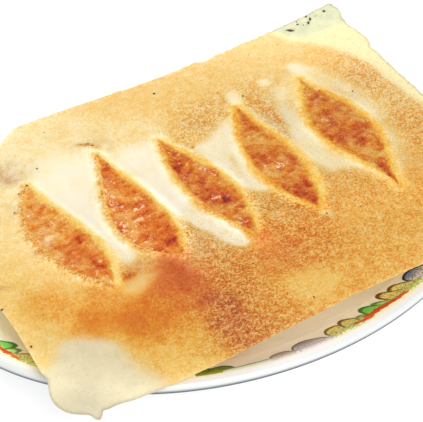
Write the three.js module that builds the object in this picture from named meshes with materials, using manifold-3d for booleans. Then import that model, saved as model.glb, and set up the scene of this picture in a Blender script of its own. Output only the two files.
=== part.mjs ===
// Five pan-fried gyoza joined by their crisp starch skirt, turned out base-up on an oval porcelain plate.
// Millimetres, +Z up. The origin is on the table under the middle of the plate. The dumplings stand in a
// row along X and each one lies along Y. Being turned over, they show their flat browned bases, and
// their pleated seams point down into the plate.
import * as THREE from "three";
import { mergeVertices } from "three/addons/utils/BufferGeometryUtils.js";
import Module from "manifold-3d";

const wasm = await Module();
wasm.setup();

// ---- driving dimensions ----

const PLATE_HALF_LENGTH = 131;
const PLATE_HALF_WIDTH = 99;
const PLATE_HEIGHT = 27;
const PLATE_SEGMENTS = 64;
const LIP_RADIUS = 2.5; // the rolled edge of the rim
const LIP_WIDTH = 6.5;
const LIP_STEP = 0.9; // how far the painted band lies below the roll
const WELL_HEIGHT = 9; // top of the flat middle, above the table
const WELL_RADIUS = 56; // along the short axis
const FOOT_RADIUS = 60; // along the short axis
const FOOT_WIDTH = 5;
const FOOT_HEIGHT = 4.5;
const FOOT_TAPER = 1.2;

const BASE_HEIGHT = 36.3; // the dumplings' flat bases, above the table
const GAP = 0.35; // between pieces that touch
const GYOZA_DEPTH = BASE_HEIGHT - WELL_HEIGHT - GAP; // from base to seam, at mid length
const TIP_DEPTH = 6; // the same at the pinched tips
const TIP_HALF_WIDTH = 0.5;
const BODY_ARCH = 0.6; // how full the body is towards its tips: less is fuller
const NECK_DEPTH = 2.4; // the straight edge of the base, which passes through the skirt
const BULGE = 2.2; // how far the body stands out past its base, at the tips
const BULGE_MIDDLE = 2.0; // added to that at mid length
const PLEATS = 6;
const PLEAT_STEPS = 4; // cross-sections to one pleat
const PLEAT_DEPTH = 1.6;
const SEAM_WAVE = 1.1; // the seam runs to and fro between the pleats

const SKIRT_HEIGHT = 36.5; // the skirt's upper face where it lay on the pan
const SKIRT_THICKNESS = 1.2;
const SKIRT_CELL = 8.5; // the size of the cells that its surface is split into
const SKIRT_EDGE_POINTS = 96;
const VALLEY_DEPTH = 2.4; // beside the dumplings, where the batter was held off the pan
const HOLE_CLEARANCE = 0.6; // all round a base, where it shows through the skirt

// One dumpling to a row, from -X to +X: the middle of its base, the turn of its long axis from +Y, its
// length and width, how far its middle bows to +X (bow) and how far it bends like an S (sway), how
// pointed it is, and how much its wide part is shifted to the +Y end (shift).
const GYOZA = [
  { x: -65.5, y: 9, turn: 3, length: 76.5, width: 22, bow: -4.2, sway: -3.5, point: 1, shift: -0.3 },
  { x: -30, y: 12.5, turn: 1, length: 79, width: 22, bow: -3.8, sway: 2.5, point: 0.85, shift: -0.75 },
  { x: 2, y: 6, turn: 3.5, length: 82, width: 19.5, bow: 1.4, sway: -1.5, point: 1.3, shift: 0 },
  { x: 41, y: 10.5, turn: -3.5, length: 81, width: 21.5, bow: -2, sway: -1.5, point: 1.05, shift: -0.35 },
  { x: 79.5, y: 10, turn: -2, length: 90, width: 26, bow: 0.5, sway: -2, point: 1.6, shift: 0.4 },
];

// The skirt's outline, clockwise from the left: its corners, how round each one is, and how far the edge
// from there to the next corner is hollowed. The back left corner is broken off.
const SKIRT_CORNERS = [
  { x: -111.5, y: 42, round: 14, hollow: -1 },
  { x: -57, y: 88.5, round: 5, hollow: 1.8 },
  { x: 127.3, y: 98.6, round: 1.5, hollow: 1.2 },
  { x: 127.7, y: -80, round: 14, hollow: 0 },
  { x: -52, y: -87.5, round: 20, hollow: 0 },
  { x: -109.5, y: -84.5, round: 14, hollow: 0 },
];
const EDGE_RAGGED = 0.9; // the crisp edge is broken, not cut

// Corners that are turned up (lift above 0) or hang down, and how far from the corner that starts.
const SKIRT_LIFTS = [
  { x: 127.3, y: 98.6, reach: 60, lift: 4.2 },
  { x: 127.7, y: -80, reach: 60, lift: -3 },
  { x: -98, y: 78, reach: 55, lift: -4 },
];
// The front left of the skirt sags over the rim of the plate.
const SAG = { depth: 10.5, fromX: 40, toX: -109.5, fromY: -32, toY: -84.5 };

// ---- helpers ----

const smooth = (from, to, value) => THREE.MathUtils.smoothstep(value, from, to);

function solidFrom(geometry) {
  const bare = geometry.clone();
  bare.deleteAttribute("normal");
  bare.deleteAttribute("uv");
  const welded = mergeVertices(bare, 1e-4);
  const vertProperties = new Float32Array(welded.attributes.position.array);
  const triVerts = new Uint32Array(welded.index.array);
  return new wasm.Manifold(new wasm.Mesh({ numProp: 3, vertProperties, triVerts }));
}

function geometryFrom(solid) {
  const { vertProperties, triVerts } = solid.getMesh();
  const geometry = new THREE.BufferGeometry();
  geometry.setAttribute("position", new THREE.BufferAttribute(new Float32Array(vertProperties), 3));
  geometry.setIndex(new THREE.BufferAttribute(new Uint32Array(triVerts), 1));
  return geometry;
}

function meshOf(points, triangles) {
  const geometry = new THREE.BufferGeometry();
  geometry.setAttribute("position", new THREE.Float32BufferAttribute(points.flat(), 3));
  geometry.setIndex(triangles.flat());
  return geometry;
}

function named(name, geometry, material) {
  geometry.computeVertexNormals();
  const mesh = new THREE.Mesh(geometry, material);
  mesh.name = name;
  return mesh;
}

// ---- the oval plate ----

// Half of the plate's cross-section along its short axis, from the middle of the underside round the
// foot ring and the rolled lip to the middle of the well.
function plateProfile() {
  const point = (r, z) => new THREE.Vector2(r, z);
  const foot = [
    point(0, FOOT_HEIGHT),
    point(FOOT_RADIUS - FOOT_WIDTH - FOOT_TAPER, FOOT_HEIGHT),
    point(FOOT_RADIUS - FOOT_WIDTH, 0),
    point(FOOT_RADIUS, 0),
    point(FOOT_RADIUS + FOOT_TAPER, FOOT_HEIGHT),
  ];
  const lip = point(PLATE_HALF_WIDTH - LIP_RADIUS, PLATE_HEIGHT - LIP_RADIUS);
  const roll = [-80, -40, 0, 40, 90].map((degrees) => {
    const angle = THREE.MathUtils.degToRad(degrees);
    return point(lip.x + LIP_RADIUS * Math.cos(angle), lip.y + LIP_RADIUS * Math.sin(angle));
  });
  const belly = point(FOOT_RADIUS + 20, FOOT_HEIGHT + 2);
  const underside = new THREE.QuadraticBezierCurve(foot[4], belly, roll[0]).getPoints(4);
  const bandTop = point(PLATE_HALF_WIDTH - LIP_WIDTH, PLATE_HEIGHT - LIP_STEP);
  const wellEdge = point(WELL_RADIUS, WELL_HEIGHT);
  const hollow = point(WELL_RADIUS + 18, WELL_HEIGHT + 1);
  const wall = new THREE.QuadraticBezierCurve(bandTop, hollow, wellEdge).getPoints(6);
  return [...foot, ...underside.slice(1, -1), ...roll, ...wall, point(0, WELL_HEIGHT)];
}

function plateGeometry() {
  const geometry = new THREE.LatheGeometry(plateProfile(), PLATE_SEGMENTS);
  geometry.rotateX(Math.PI / 2);
  // The round turning is drawn out along X: the middle in proportion, and all outside the foot by one amount.
  const place = geometry.attributes.position;
  for (let i = 0; i < place.count; i += 1) {
    const radius = Math.hypot(place.getX(i), place.getY(i));
    if (radius === 0) continue;
    const stretch = (PLATE_HALF_LENGTH - PLATE_HALF_WIDTH) * Math.min(1, radius / FOOT_RADIUS);
    place.setX(i, place.getX(i) * (1 + stretch / radius));
  }
  return geometryFrom(solidFrom(geometry));
}

// ---- one dumpling ----

// The long axis and the middle line of a base. s runs from -1 at the -Y tip to 1 at the +Y tip, and n
// is the distance to the +X side.
function axisOf(gyoza) {
  const turn = THREE.MathUtils.degToRad(90 + gyoza.turn);
  const along = [Math.cos(turn), Math.sin(turn)];
  const across = [along[1], -along[0]];
  return { along, across, half: gyoza.length / 2 };
}

const middleLine = (gyoza, s) => (1 - s * s) * (gyoza.bow + gyoza.sway * s);

const halfWidth = (gyoza, s) =>
  TIP_HALF_WIDTH + (gyoza.width / 2 - TIP_HALF_WIDTH) * (1 - s * s) ** gyoza.point * (1 + gyoza.shift * s);

function placeOn(gyoza, s, n) {
  const { along, across, half } = axisOf(gyoza);
  return [gyoza.x + along[0] * half * s + across[0] * n, gyoza.y + along[1] * half * s + across[1] * n];
}

// From neck to seam: how deep each ring of the body is and how wide, as shares of the full depth and width.
const BODY_RINGS = [
  { depth: 0.1, width: 0.84 },
  { depth: 0.23, width: 0.97 },
  { depth: 0.4, width: 1 },
  { depth: 0.56, width: 0.87 },
  { depth: 0.68, width: 0.62 },
  { depth: 0.79, width: 0.34 },
  { depth: 0.9, width: 0.2 },
  { depth: 1, width: 0.13 },
];

// The folds on the +X side: each pleat rises slowly and drops at once to the next.
const pleat = (s) => {
  const count = ((s + 1) / 2) * PLEATS;
  return count - Math.floor(count);
};

// The closed outline of the body at s, from the +X edge of the base down to the seam and up again.
function crossSection(gyoza, s) {
  const edge = halfWidth(gyoza, s);
  const arch = (1 - s * s) ** BODY_ARCH;
  const body = edge + BULGE + BULGE_MIDDLE * arch;
  const depth = TIP_DEPTH + (GYOZA_DEPTH - TIP_DEPTH) * arch;
  const middle = middleLine(gyoza, s);
  const wave = SEAM_WAVE * arch * Math.sin(Math.PI * PLEATS * (s + 1));
  const side = (sign) => {
    const rings = BODY_RINGS.map((ring) => {
      const low = smooth(0.35, 0.9, ring.depth) * arch;
      const fold = sign > 0 ? PLEAT_DEPTH * low * (pleat(s) - 0.5) : 0;
      const down = NECK_DEPTH + ring.depth * (depth - NECK_DEPTH);
      return [middle + sign * body * ring.width + fold + wave * low * low, BASE_HEIGHT - down];
    });
    return [[middle + sign * edge, BASE_HEIGHT], [middle + sign * edge, BASE_HEIGHT - NECK_DEPTH], ...rings];
  };
  const outline = [...side(1), ...side(-1).reverse()];
  return outline.map(([n, z]) => [...placeOn(gyoza, s, n), z]);
}

function gyozaGeometry(gyoza) {
  const steps = PLEATS * PLEAT_STEPS;
  const sections = [];
  for (let i = 0; i <= steps; i += 1) {
    sections.push(crossSection(gyoza, (2 * i) / steps - 1));
  }
  const around = sections[0].length;
  const triangles = [];
  for (let i = 0; i < steps; i += 1) {
    for (let j = 0; j < around; j += 1) {
      const [a, b] = [i * around + j, i * around + ((j + 1) % around)];
      triangles.push([a, b, b + around], [a, b + around, a + around]);
    }
  }
  const last = steps * around;
  for (let j = 0; 2 * j < around - 2; j += 1) {
    const [left, right] = [j, around - 1 - j];
    for (const corner of [[left, right, left + 1], [left + 1, right, right - 1]]) {
      if (new Set(corner).size < 3) continue;
      triangles.push(corner, corner.map((k) => last + k).reverse());
    }
  }
  return meshOf(sections.flat(), triangles);
}

// ---- the crisp skirt ----

// The distance from a point to the edge of the nearest base, and how far along that base it lies.
function nearestBase(x, y) {
  let nearest = { distance: Infinity, s: 0 };
  for (const gyoza of GYOZA) {
    const { along, across, half } = axisOf(gyoza);
    const [dx, dy] = [x - gyoza.x, y - gyoza.y];
    const s = (dx * along[0] + dy * along[1]) / half;
    const inside = THREE.MathUtils.clamp(s, -1, 1);
    const n = dx * across[0] + dy * across[1] - middleLine(gyoza, inside);
    const beside = Math.max(0, Math.abs(n) - halfWidth(gyoza, inside));
    const distance = Math.hypot(beside, (Math.abs(s) - Math.abs(inside)) * half);
    if (distance < nearest.distance) nearest = { distance, s };
  }
  return nearest;
}

// How much the skirt sinks beside a base: nothing at its edge, most a few millimetres away.
function valley(x, y) {
  const { distance, s } = nearestBase(x, y);
  const across = smooth(0.5, 6.5, distance) * (1 - smooth(7, 14, distance));
  return VALLEY_DEPTH * across * (1 - smooth(0.75, 1.1, Math.abs(s)));
}

function cornerLift(x, y) {
  let height = 0;
  for (const corner of SKIRT_LIFTS) {
    const near = 1 - Math.hypot(x - corner.x, y - corner.y) / corner.reach;
    height += corner.lift * Math.max(0, near) ** 1.3;
  }
  return height;
}

function sag(x, y) {
  const left = Math.max(0, (SAG.fromX - x) / (SAG.fromX - SAG.toX));
  const front = Math.max(0, (SAG.fromY - y) / (SAG.fromY - SAG.toY));
  return SAG.depth * left ** 1.6 * front ** 1.3;
}

const unevenness = (x, y) => 0.3 * Math.sin(x / 23 + 1) * Math.sin(y / 31 + 2);

const skirtTop = (x, y) => SKIRT_HEIGHT - valley(x, y) + cornerLift(x, y) - sag(x, y) + unevenness(x, y);

// A thin sheet of cells, both faces split alike, that the outline is then cut from.
function skirtSheet() {
  const spare = SKIRT_CELL / 2;
  const corners = new THREE.Box2().setFromPoints(SKIRT_CORNERS);
  const [left, front] = corners.min.subScalar(spare).toArray();
  const [right, back] = corners.max.addScalar(spare).toArray();
  const columns = Math.ceil((right - left) / SKIRT_CELL);
  const rows = Math.ceil((back - front) / SKIRT_CELL);
  const points = [];
  for (const drop of [0, SKIRT_THICKNESS]) {
    for (let j = 0; j <= rows; j += 1) {
      for (let i = 0; i <= columns; i += 1) {
        const x = left + ((right - left) * i) / columns;
        const y = front + ((back - front) * j) / rows;
        points.push([x, y, skirtTop(x, y) - drop]);
      }
    }
  }
  const across = columns + 1;
  const under = across * (rows + 1);
  const triangles = [];
  const face = (a, b, c) => triangles.push([a, b, c], [c + under, b + under, a + under]);
  const wall = (a, b) => triangles.push([a, a + under, b + under], [a, b + under, b]);
  for (let j = 0; j < rows; j += 1) {
    for (let i = 0; i < columns; i += 1) {
      const a = j * across + i;
      face(a, a + 1, a + across + 1);
      face(a, a + across + 1, a + across);
    }
  }
  const corner = { a: 0, b: columns, c: under - 1, d: rows * across };
  for (let i = 0; i < columns; i += 1) {
    wall(corner.a + i, corner.a + i + 1);
    wall(corner.c - i, corner.c - i - 1);
  }
  for (let j = 0; j < rows; j += 1) {
    wall(corner.b + j * across, corner.b + (j + 1) * across);
    wall(corner.d - j * across, corner.d - (j + 1) * across);
  }
  return solidFrom(meshOf(points, triangles));
}

// An upright block of a closed outline, from the table to well above the skirt, to cut it with.
function cutter(outline) {
  return solidFrom(new THREE.ExtrudeGeometry(outline, { depth: 2 * SKIRT_HEIGHT, bevelEnabled: false }));
}

function skirtOutline() {
  const corners = SKIRT_CORNERS.map((corner) => ({ ...corner, at: new THREE.Vector2(corner.x, corner.y) }));
  const towards = (from, to, distance) => to.clone().sub(from).setLength(distance).add(from);
  const path = new THREE.Path();
  corners.forEach(({ at, round, hollow }, i) => {
    const previous = corners[(i + corners.length - 1) % corners.length];
    const next = corners[(i + 1) % corners.length];
    const start = towards(at, previous.at, round);
    const end = towards(at, next.at, round);
    if (i === 0) path.moveTo(start.x, start.y);
    path.quadraticCurveTo(at.x, at.y, end.x, end.y);
    const arrival = towards(next.at, at, next.round);
    const inward = arrival.clone().sub(end).normalize();
    const pull = end.clone().add(arrival).multiplyScalar(0.5);
    pull.add(new THREE.Vector2(inward.y, -inward.x).multiplyScalar(2 * hollow));
    path.quadraticCurveTo(pull.x, pull.y, arrival.x, arrival.y);
  });
  const ragged = path.getSpacedPoints(SKIRT_EDGE_POINTS).slice(0, -1).map((point, i) => {
    const bite = Math.sin(i * 2.4) * Math.sin(i * 0.83 + 1) - 1;
    return point.addScaledVector(point.clone().normalize(), (EDGE_RAGGED * bite) / 2);
  });
  return new THREE.Shape(ragged.reverse());
}

// The opening round one base.
function baseOutline(gyoza) {
  const steps = 12;
  const reach = 1 + HOLE_CLEARANCE / (gyoza.length / 2);
  const side = (sign) => {
    const points = [];
    for (let i = 0; i <= steps; i += 1) {
      const s = -Math.cos((Math.PI * i) / steps);
      const n = middleLine(gyoza, s) + sign * (halfWidth(gyoza, s) + HOLE_CLEARANCE);
      points.push(new THREE.Vector2(...placeOn(gyoza, s * reach, n)));
    }
    return points;
  };
  return new THREE.Shape([...side(1), ...side(-1).reverse()]);
}

function skirtGeometry() {
  let skirt = skirtSheet().intersect(cutter(skirtOutline()));
  for (const gyoza of GYOZA) {
    skirt = skirt.subtract(cutter(baseOutline(gyoza)));
  }
  return geometryFrom(skirt);
}

// ---- the whole ----

const porcelain = new THREE.MeshStandardMaterial({ color: 0xf4f3f0, roughness: 0.15, metalness: 0 });
const friedDough = new THREE.MeshStandardMaterial({ color: 0xd07c34, roughness: 0.45, metalness: 0 });
const crispStarch = new THREE.MeshStandardMaterial({ color: 0xecbd6e, roughness: 0.55, metalness: 0 });

const served = new THREE.Group();
served.add(named("oval_plate", plateGeometry(), porcelain));
served.add(named("crisp_skirt", skirtGeometry(), crispStarch));
GYOZA.forEach((gyoza, i) => {
  served.add(named(`gyoza_${i + 1}`, gyozaGeometry(gyoza), friedDough));
});

export default served;
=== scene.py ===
# %% [markdown]
# # Winged gyoza on an oval plate
#
# Five pan-fried dumplings lie base-up on an oval porcelain plate. A thin crisp sheet of starch, the
# skirt, joins them: it is the batter that ran out between them in the pan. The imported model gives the
# solids, and this lesson dresses each of them: a fine mesh in the same place, then a finish made of
# nodes. We go from the sheet, which is the largest thing to see, to the dumplings, the plate, and at
# last the light and the camera.

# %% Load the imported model
import math

import bpy
import numpy as np
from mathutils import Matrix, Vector
from mathutils.geometry import delaunay_2d_cdt
from mathutils.kdtree import KDTree


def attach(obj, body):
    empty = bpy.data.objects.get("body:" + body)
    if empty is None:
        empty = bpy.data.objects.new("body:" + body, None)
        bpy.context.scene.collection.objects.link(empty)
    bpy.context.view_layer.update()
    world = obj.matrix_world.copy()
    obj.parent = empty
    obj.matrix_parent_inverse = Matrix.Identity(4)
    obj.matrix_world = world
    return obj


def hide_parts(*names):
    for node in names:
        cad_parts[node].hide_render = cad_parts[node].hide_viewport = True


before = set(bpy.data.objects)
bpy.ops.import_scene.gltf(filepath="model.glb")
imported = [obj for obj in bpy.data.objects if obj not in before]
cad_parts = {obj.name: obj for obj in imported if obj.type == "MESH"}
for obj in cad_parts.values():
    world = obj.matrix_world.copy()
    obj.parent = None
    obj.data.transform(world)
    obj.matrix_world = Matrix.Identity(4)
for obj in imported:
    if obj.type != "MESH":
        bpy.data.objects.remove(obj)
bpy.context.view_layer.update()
print("solids:", sorted(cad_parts))

# %% [markdown]
# ## Small tools for shapes
#
# Every design value below is in millimetres, as a cook would measure the dish, and is turned into
# metres only when a mesh is made. Two kinds of helper come back again and again: a soft step, for
# things that start gradually, and a lumpy noise, for things that no two dumplings share. The noise
# draws its numbers from a fixed seed, so that the dish is the same every time. Lumps of several sizes
# on top of each other look more like food than lumps of one size.

# %% Soft steps and lumpy noise
MM = 0.001
NOISE_CELLS = 64


def smooth(low, high, value):
    """0 up to low, 1 from high on, and an S-shaped rise between them."""
    t = np.clip((value - low) / (high - low), 0, 1)
    return t * t * (3 - 2 * t)


def lumps(x, y, size, seed):
    """Random relief from -1 to 1, with lumps about `size` mm across."""
    heights = np.random.default_rng(seed).uniform(-1, 1, (NOISE_CELLS, NOISE_CELLS))
    turned_x, turned_y = 0.8 * x - 0.6 * y, 0.6 * x + 0.8 * y
    column, row = turned_x / size, turned_y / size
    i, j = np.floor(column).astype(int), np.floor(row).astype(int)
    u, v = column - i, row - j
    u, v = u * u * (3 - 2 * u), v * v * (3 - 2 * v)

    def at(right, up):
        return heights[(i + right) % NOISE_CELLS, (j + up) % NOISE_CELLS]

    near = at(0, 0) * (1 - u) + at(1, 0) * u
    far = at(0, 1) * (1 - u) + at(1, 1) * u
    return near * (1 - v) + far * v


def layered(x, y, layers):
    """Lumps of several sizes on top of each other; a layer is its height, its size and its seed."""
    return sum(height * lumps(x, y, size, seed) for height, size, seed in layers)


sample = lumps(np.linspace(0, 50, 200), np.zeros(200), 4, 1)
print(f"noise runs from {sample.min():.2f} to {sample.max():.2f}")

# %% [markdown]
# A piece here is a mesh plus a few marks: numbers kept at each of its points, such as how browned
# the batter is there. Blender calls them attributes. The finish reads them by name, so a colour
# stays on its spot whatever the mesh does.

# %% A mesh with marks
# edges that bend more than this many degrees are shaded as creases
SHARP_FROM = 48


def make_piece(name, points, faces, marks=None, domain="POINT"):
    """An object of these points (in mm) and faces, with a number per point or corner for each mark."""
    mesh = bpy.data.meshes.new(name)
    mesh.from_pydata((np.asarray(points) * MM).tolist(), [], faces)
    for mark, values in (marks or {}).items():
        attribute = mesh.attributes.new(mark, "FLOAT", domain)
        attribute.data.foreach_set("value", np.asarray(values, dtype=np.float32))
    mesh.validate()
    mesh.shade_smooth()
    mesh.set_sharp_from_angle(angle=math.radians(SHARP_FROM))
    piece = bpy.data.objects.new(name, mesh)
    bpy.context.scene.collection.objects.link(piece)
    return piece


def describe(piece):
    """Prints how many triangles a piece has, and its size in mm."""
    triangles = sum(len(face.vertices) - 2 for face in piece.data.polygons)
    size = [round(side / MM, 1) for side in piece.dimensions]
    print(f"{piece.name}: {triangles} triangles, {size} mm")


# %% [markdown]
# ## Where the dumplings lie
#
# Each base is a leaf that bows and bends a little. It has its own two directions: `s` runs along it
# from the front tip (-1) to the back tip (1), and `n` runs across it in millimetres. Working in those
# two lets one formula serve all five, while the table keeps them as uneven as hand-folded ones are.

# %% The five bases
TIP_HALF_WIDTH = 0.5
# turn is in degrees; bow and sway bend the middle line, point sharpens the tips, and shift makes one
# end fuller than the other
GYOZA = [
    dict(x=-65.5, y=9, turn=3, length=76.5, width=22, bow=-4.2, sway=-3.5, point=1, shift=-0.3),
    dict(x=-30, y=12.5, turn=1, length=79, width=22, bow=-3.8, sway=2.5, point=0.85, shift=-0.75),
    dict(x=2, y=6, turn=3.5, length=82, width=19.5, bow=1.4, sway=-1.5, point=1.3, shift=0),
    dict(x=41, y=10.5, turn=-3.5, length=81, width=21.5, bow=-2, sway=-1.5, point=1.05, shift=-0.35),
    dict(x=79.5, y=10, turn=-2, length=90, width=26, bow=0.5, sway=-2, point=1.6, shift=0.4),
]


def directions(gyoza):
    """Unit vectors along and across a base, and half its length."""
    turn = math.radians(90 + gyoza["turn"])
    along = (math.cos(turn), math.sin(turn))
    return along, (along[1], -along[0]), gyoza["length"] / 2


def middle_line(gyoza, s):
    return (1 - s * s) * (gyoza["bow"] + gyoza["sway"] * s)


def half_width(gyoza, s):
    fullness = np.maximum(0, 1 - s * s) ** gyoza["point"] * (1 + gyoza["shift"] * s)
    return TIP_HALF_WIDTH + (gyoza["width"] / 2 - TIP_HALF_WIDTH) * fullness


def place_on(gyoza, s, n):
    """The x and y of a point that is given along and across a base."""
    along, across, half = directions(gyoza)
    x = gyoza["x"] + along[0] * half * s + across[0] * n
    y = gyoza["y"] + along[1] * half * s + across[1] * n
    return x, y


def beside(gyoza, x, y):
    """How far points lie outside a base, their s, and which side of it they are on."""
    along, across, half = directions(gyoza)
    dx, dy = x - gyoza["x"], y - gyoza["y"]
    s = (dx * along[0] + dy * along[1]) / half
    inside = np.clip(s, -1, 1)
    n = dx * across[0] + dy * across[1] - middle_line(gyoza, inside)
    past = np.maximum(0, np.abs(n) - half_width(gyoza, inside))
    return np.hypot(past, (np.abs(s) - np.abs(inside)) * half), s, np.sign(n)


def nearest_base(x, y):
    """The distance to the nearest base, with the s, side and number of that base."""
    answers = [beside(gyoza, x, y) for gyoza in GYOZA]
    away = np.stack([answer[0] for answer in answers])
    number = away.argmin(axis=0)

    def pick(k):
        return np.take_along_axis(np.stack([answer[k] for answer in answers]), number[None], 0)[0]

    return pick(0), pick(1), pick(2), number


print("base lengths in mm:", [gyoza["length"] for gyoza in GYOZA])

# %% [markdown]
# ## How the sheet lies
#
# The skirt was flat while it lay on the pan. Where a dumpling held the batter up it now makes a
# shallow valley, the front left corner sags over the plate's rim, and the back right corner curls
# up. One height function says all of it. The dumplings' bases use the same function, so that skirt
# and base meet without a step.

# %% The height of the sheet
SKIRT_HEIGHT = 36.5
# the valley beside a base: its depth, and where it starts, is deepest and ends, in mm from the base
VALLEY = dict(depth=1.1, start=0.5, deepest=8, end=18)
# a corner that curls up, or down where the lift is below 0
LIFTS = [
    dict(x=127.3, y=98.6, reach=60, lift=4.2),
    dict(x=127.7, y=-80, reach=60, lift=-3),
    dict(x=-98, y=78, reach=55, lift=-4),
]
LIFT_CURVE = 1.3
SAG = dict(depth=10.5, from_x=40, to_x=-109.5, from_y=-32, to_y=-84.5)
UNEVENNESS = 0.3


def sheet_height(x, y):
    """The height of the sheet's upper face."""
    distance, s, _, _ = nearest_base(x, y)
    into = smooth(VALLEY["start"], VALLEY["deepest"], distance)
    out_of = 1 - smooth(VALLEY["deepest"], VALLEY["end"], distance)
    valley = VALLEY["depth"] * (into * out_of) * (1 - smooth(0.75, 1.1, np.abs(s)))
    lift = 0
    for corner in LIFTS:
        near = 1 - np.hypot(x - corner["x"], y - corner["y"]) / corner["reach"]
        lift = lift + corner["lift"] * np.maximum(0, near) ** LIFT_CURVE
    left = np.maximum(0, (SAG["from_x"] - x) / (SAG["from_x"] - SAG["to_x"]))
    front = np.maximum(0, (SAG["from_y"] - y) / (SAG["from_y"] - SAG["to_y"]))
    sag = SAG["depth"] * left**1.6 * front**1.3
    unevenness = UNEVENNESS * np.sin(x / 23 + 1) * np.sin(y / 31 + 2)
    return SKIRT_HEIGHT - valley + lift - sag + unevenness


middle = sheet_height(np.array([0.0]), np.array([-60.0]))[0]
print(f"the sheet lies {middle:.1f} mm above the table in front of the middle dumpling")

# %% [markdown]
# ## The edge of the sheet
#
# Batter that runs out in a pan ends in a smooth line, but this crisp edge has also been trimmed and
# chipped. The outline starts from six corners with softly hollowed sides. Chips and drips are then
# pushed in and out of it, and a fine raggedness comes last, more at the back, where the edge broke,
# than at the front left, where it set by itself.

# %% Corners, chips and drips
# `round` is how long a corner is rounded, and `hollow` how far the side after it bends in
CORNERS = [
    dict(x=-111.5, y=42, round=14, hollow=-1),
    dict(x=-57, y=88.5, round=5, hollow=1.8),
    dict(x=127.3, y=98.6, round=1.5, hollow=1.2),
    dict(x=127.7, y=-80, round=14, hollow=0),
    dict(x=-52, y=-87.5, round=20, hollow=0),
    dict(x=-109.5, y=-84.5, round=14, hollow=0),
]
# A chip pulls the edge in by `depth`, and a drip, with a depth below 0, lets it run out.
CHIPS = [
    dict(x=49, y=92, reach=7, depth=2.3),
    dict(x=43, y=93, reach=2.5, depth=-0.8),
    dict(x=14, y=89, reach=8, depth=0.6),
    dict(x=123.8, y=81, reach=10, depth=1.6),
    dict(x=127, y=66, reach=7, depth=-1.2),
    dict(x=124, y=59, reach=5, depth=1.6),
    dict(x=-98.5, y=-83.4, reach=3.2, depth=-2.8),
    dict(x=-95.5, y=-85, reach=2, depth=0.8),
    dict(x=-103, y=-81, reach=7, depth=2.2),
    dict(x=-92, y=-85, reach=8, depth=1.4),
    dict(x=-110.5, y=-70, reach=8, depth=-1.8),
    dict(x=-109.5, y=-60, reach=3, depth=0.7),
    dict(x=-84, y=-86, reach=9, depth=0.6),
    dict(x=20, y=-84, reach=9, depth=0.7),
]
print(f"{len(CORNERS)} corners, {len(CHIPS)} chips and drips")

# %% The closed edge
EDGE_SPACING = 1.0
CORNER_STEPS = 40
SIDE_STEPS = 200
# fine raggedness: height, size and seed
RAGGED = [(0.35, 2.1, 11), (0.45, 6.3, 12)]


def bezier(start, pull, end, steps):
    """Points on a curve that leaves start and reaches end while it is pulled towards a third point."""
    t = np.linspace(0, 1, steps, endpoint=False)[:, None]
    return (1 - t) ** 2 * start + 2 * t * (1 - t) * pull + t**2 * end


def sheet_outline():
    """The closed edge of the sheet, clockwise, with a point about every millimetre."""
    at = [np.array([corner["x"], corner["y"]], float) for corner in CORNERS]
    parts = []
    for i, corner in enumerate(CORNERS):
        before, after = at[i - 1], at[(i + 1) % len(at)]
        start = at[i] + (before - at[i]) / np.linalg.norm(before - at[i]) * corner["round"]
        end = at[i] + (after - at[i]) / np.linalg.norm(after - at[i]) * corner["round"]
        parts.append(bezier(start, at[i], end, CORNER_STEPS))
        next_round = CORNERS[(i + 1) % len(at)]["round"]
        arrival = after + (at[i] - after) / np.linalg.norm(at[i] - after) * next_round
        side = (arrival - end) / np.linalg.norm(arrival - end)
        inward = np.array([side[1], -side[0]])
        # a curve comes half as near as the point that pulls it
        pull = (end + arrival) / 2 + inward * 2 * corner["hollow"]
        parts.append(bezier(end, pull, arrival, SIDE_STEPS))
    path = np.vstack(parts)
    gaps = np.linalg.norm(np.diff(path, axis=0, append=path[:1]), axis=1)
    walked = np.concatenate([[0], np.cumsum(gaps)])
    stops = np.arange(0, walked[-1], EDGE_SPACING)
    closed = np.vstack([path, path[:1]])
    return np.column_stack([np.interp(stops, walked, closed[:, k]) for k in (0, 1)])


def chipped(outline):
    """The outline with its chips and drips, and ragged where it broke."""
    ahead = np.roll(outline, -1, axis=0) - np.roll(outline, 1, axis=0)
    inward = np.column_stack([ahead[:, 1], -ahead[:, 0]])
    inward /= np.linalg.norm(inward, axis=1)[:, None]
    push = np.zeros(len(outline))
    for chip in CHIPS:
        away = np.hypot(outline[:, 0] - chip["x"], outline[:, 1] - chip["y"]) / chip["reach"]
        push += chip["depth"] * np.maximum(0, 1 - away**2) ** 1.5
    x, y = outline.T
    rough = 0.25 + 0.75 * smooth(60, 85, y) * smooth(-20, 40, x) + 0.4 * smooth(-60, 0, x)
    push += rough * (layered(x, y, RAGGED) + 0.15)
    return outline + inward * push[:, None]


edge = chipped(sheet_outline())
print(f"the sheet's edge has {len(edge)} points")

# %% [markdown]
# The sheet has an opening for each base. Its edge takes exactly the points that the base's own edge
# takes, so the two can't leave a crack between them.

# %% The edge of a base
BASE_STEPS = 132


def base_stations():
    """The s of each cross-section of a base, closer together near the tips."""
    even = np.linspace(-1, 1, BASE_STEPS + 1)
    return 0.62 * even + 0.38 * np.sin(even * math.pi / 2)


def base_edge(gyoza, side):
    """The points along one side of a base. Crumbs of crust make the leaf a little uneven."""
    s = base_stations()
    n = half_width(gyoza, s)
    crumbs = 0.45 * lumps(s * gyoza["length"] / 2, side * 40 + gyoza["x"], 3.2, 21)
    n = n + crumbs * smooth(0.5, 3, n)
    return place_on(gyoza, s, middle_line(gyoza, s) + side * n), n


def opening(gyoza):
    right, _ = base_edge(gyoza, 1)
    left, _ = base_edge(gyoza, -1)
    right, left = np.column_stack(right), np.column_stack(left)
    return np.vstack([right, left[::-1]])


openings = [opening(gyoza) for gyoza in GYOZA]
print(f"each opening has {len(openings[0])} points")

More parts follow.
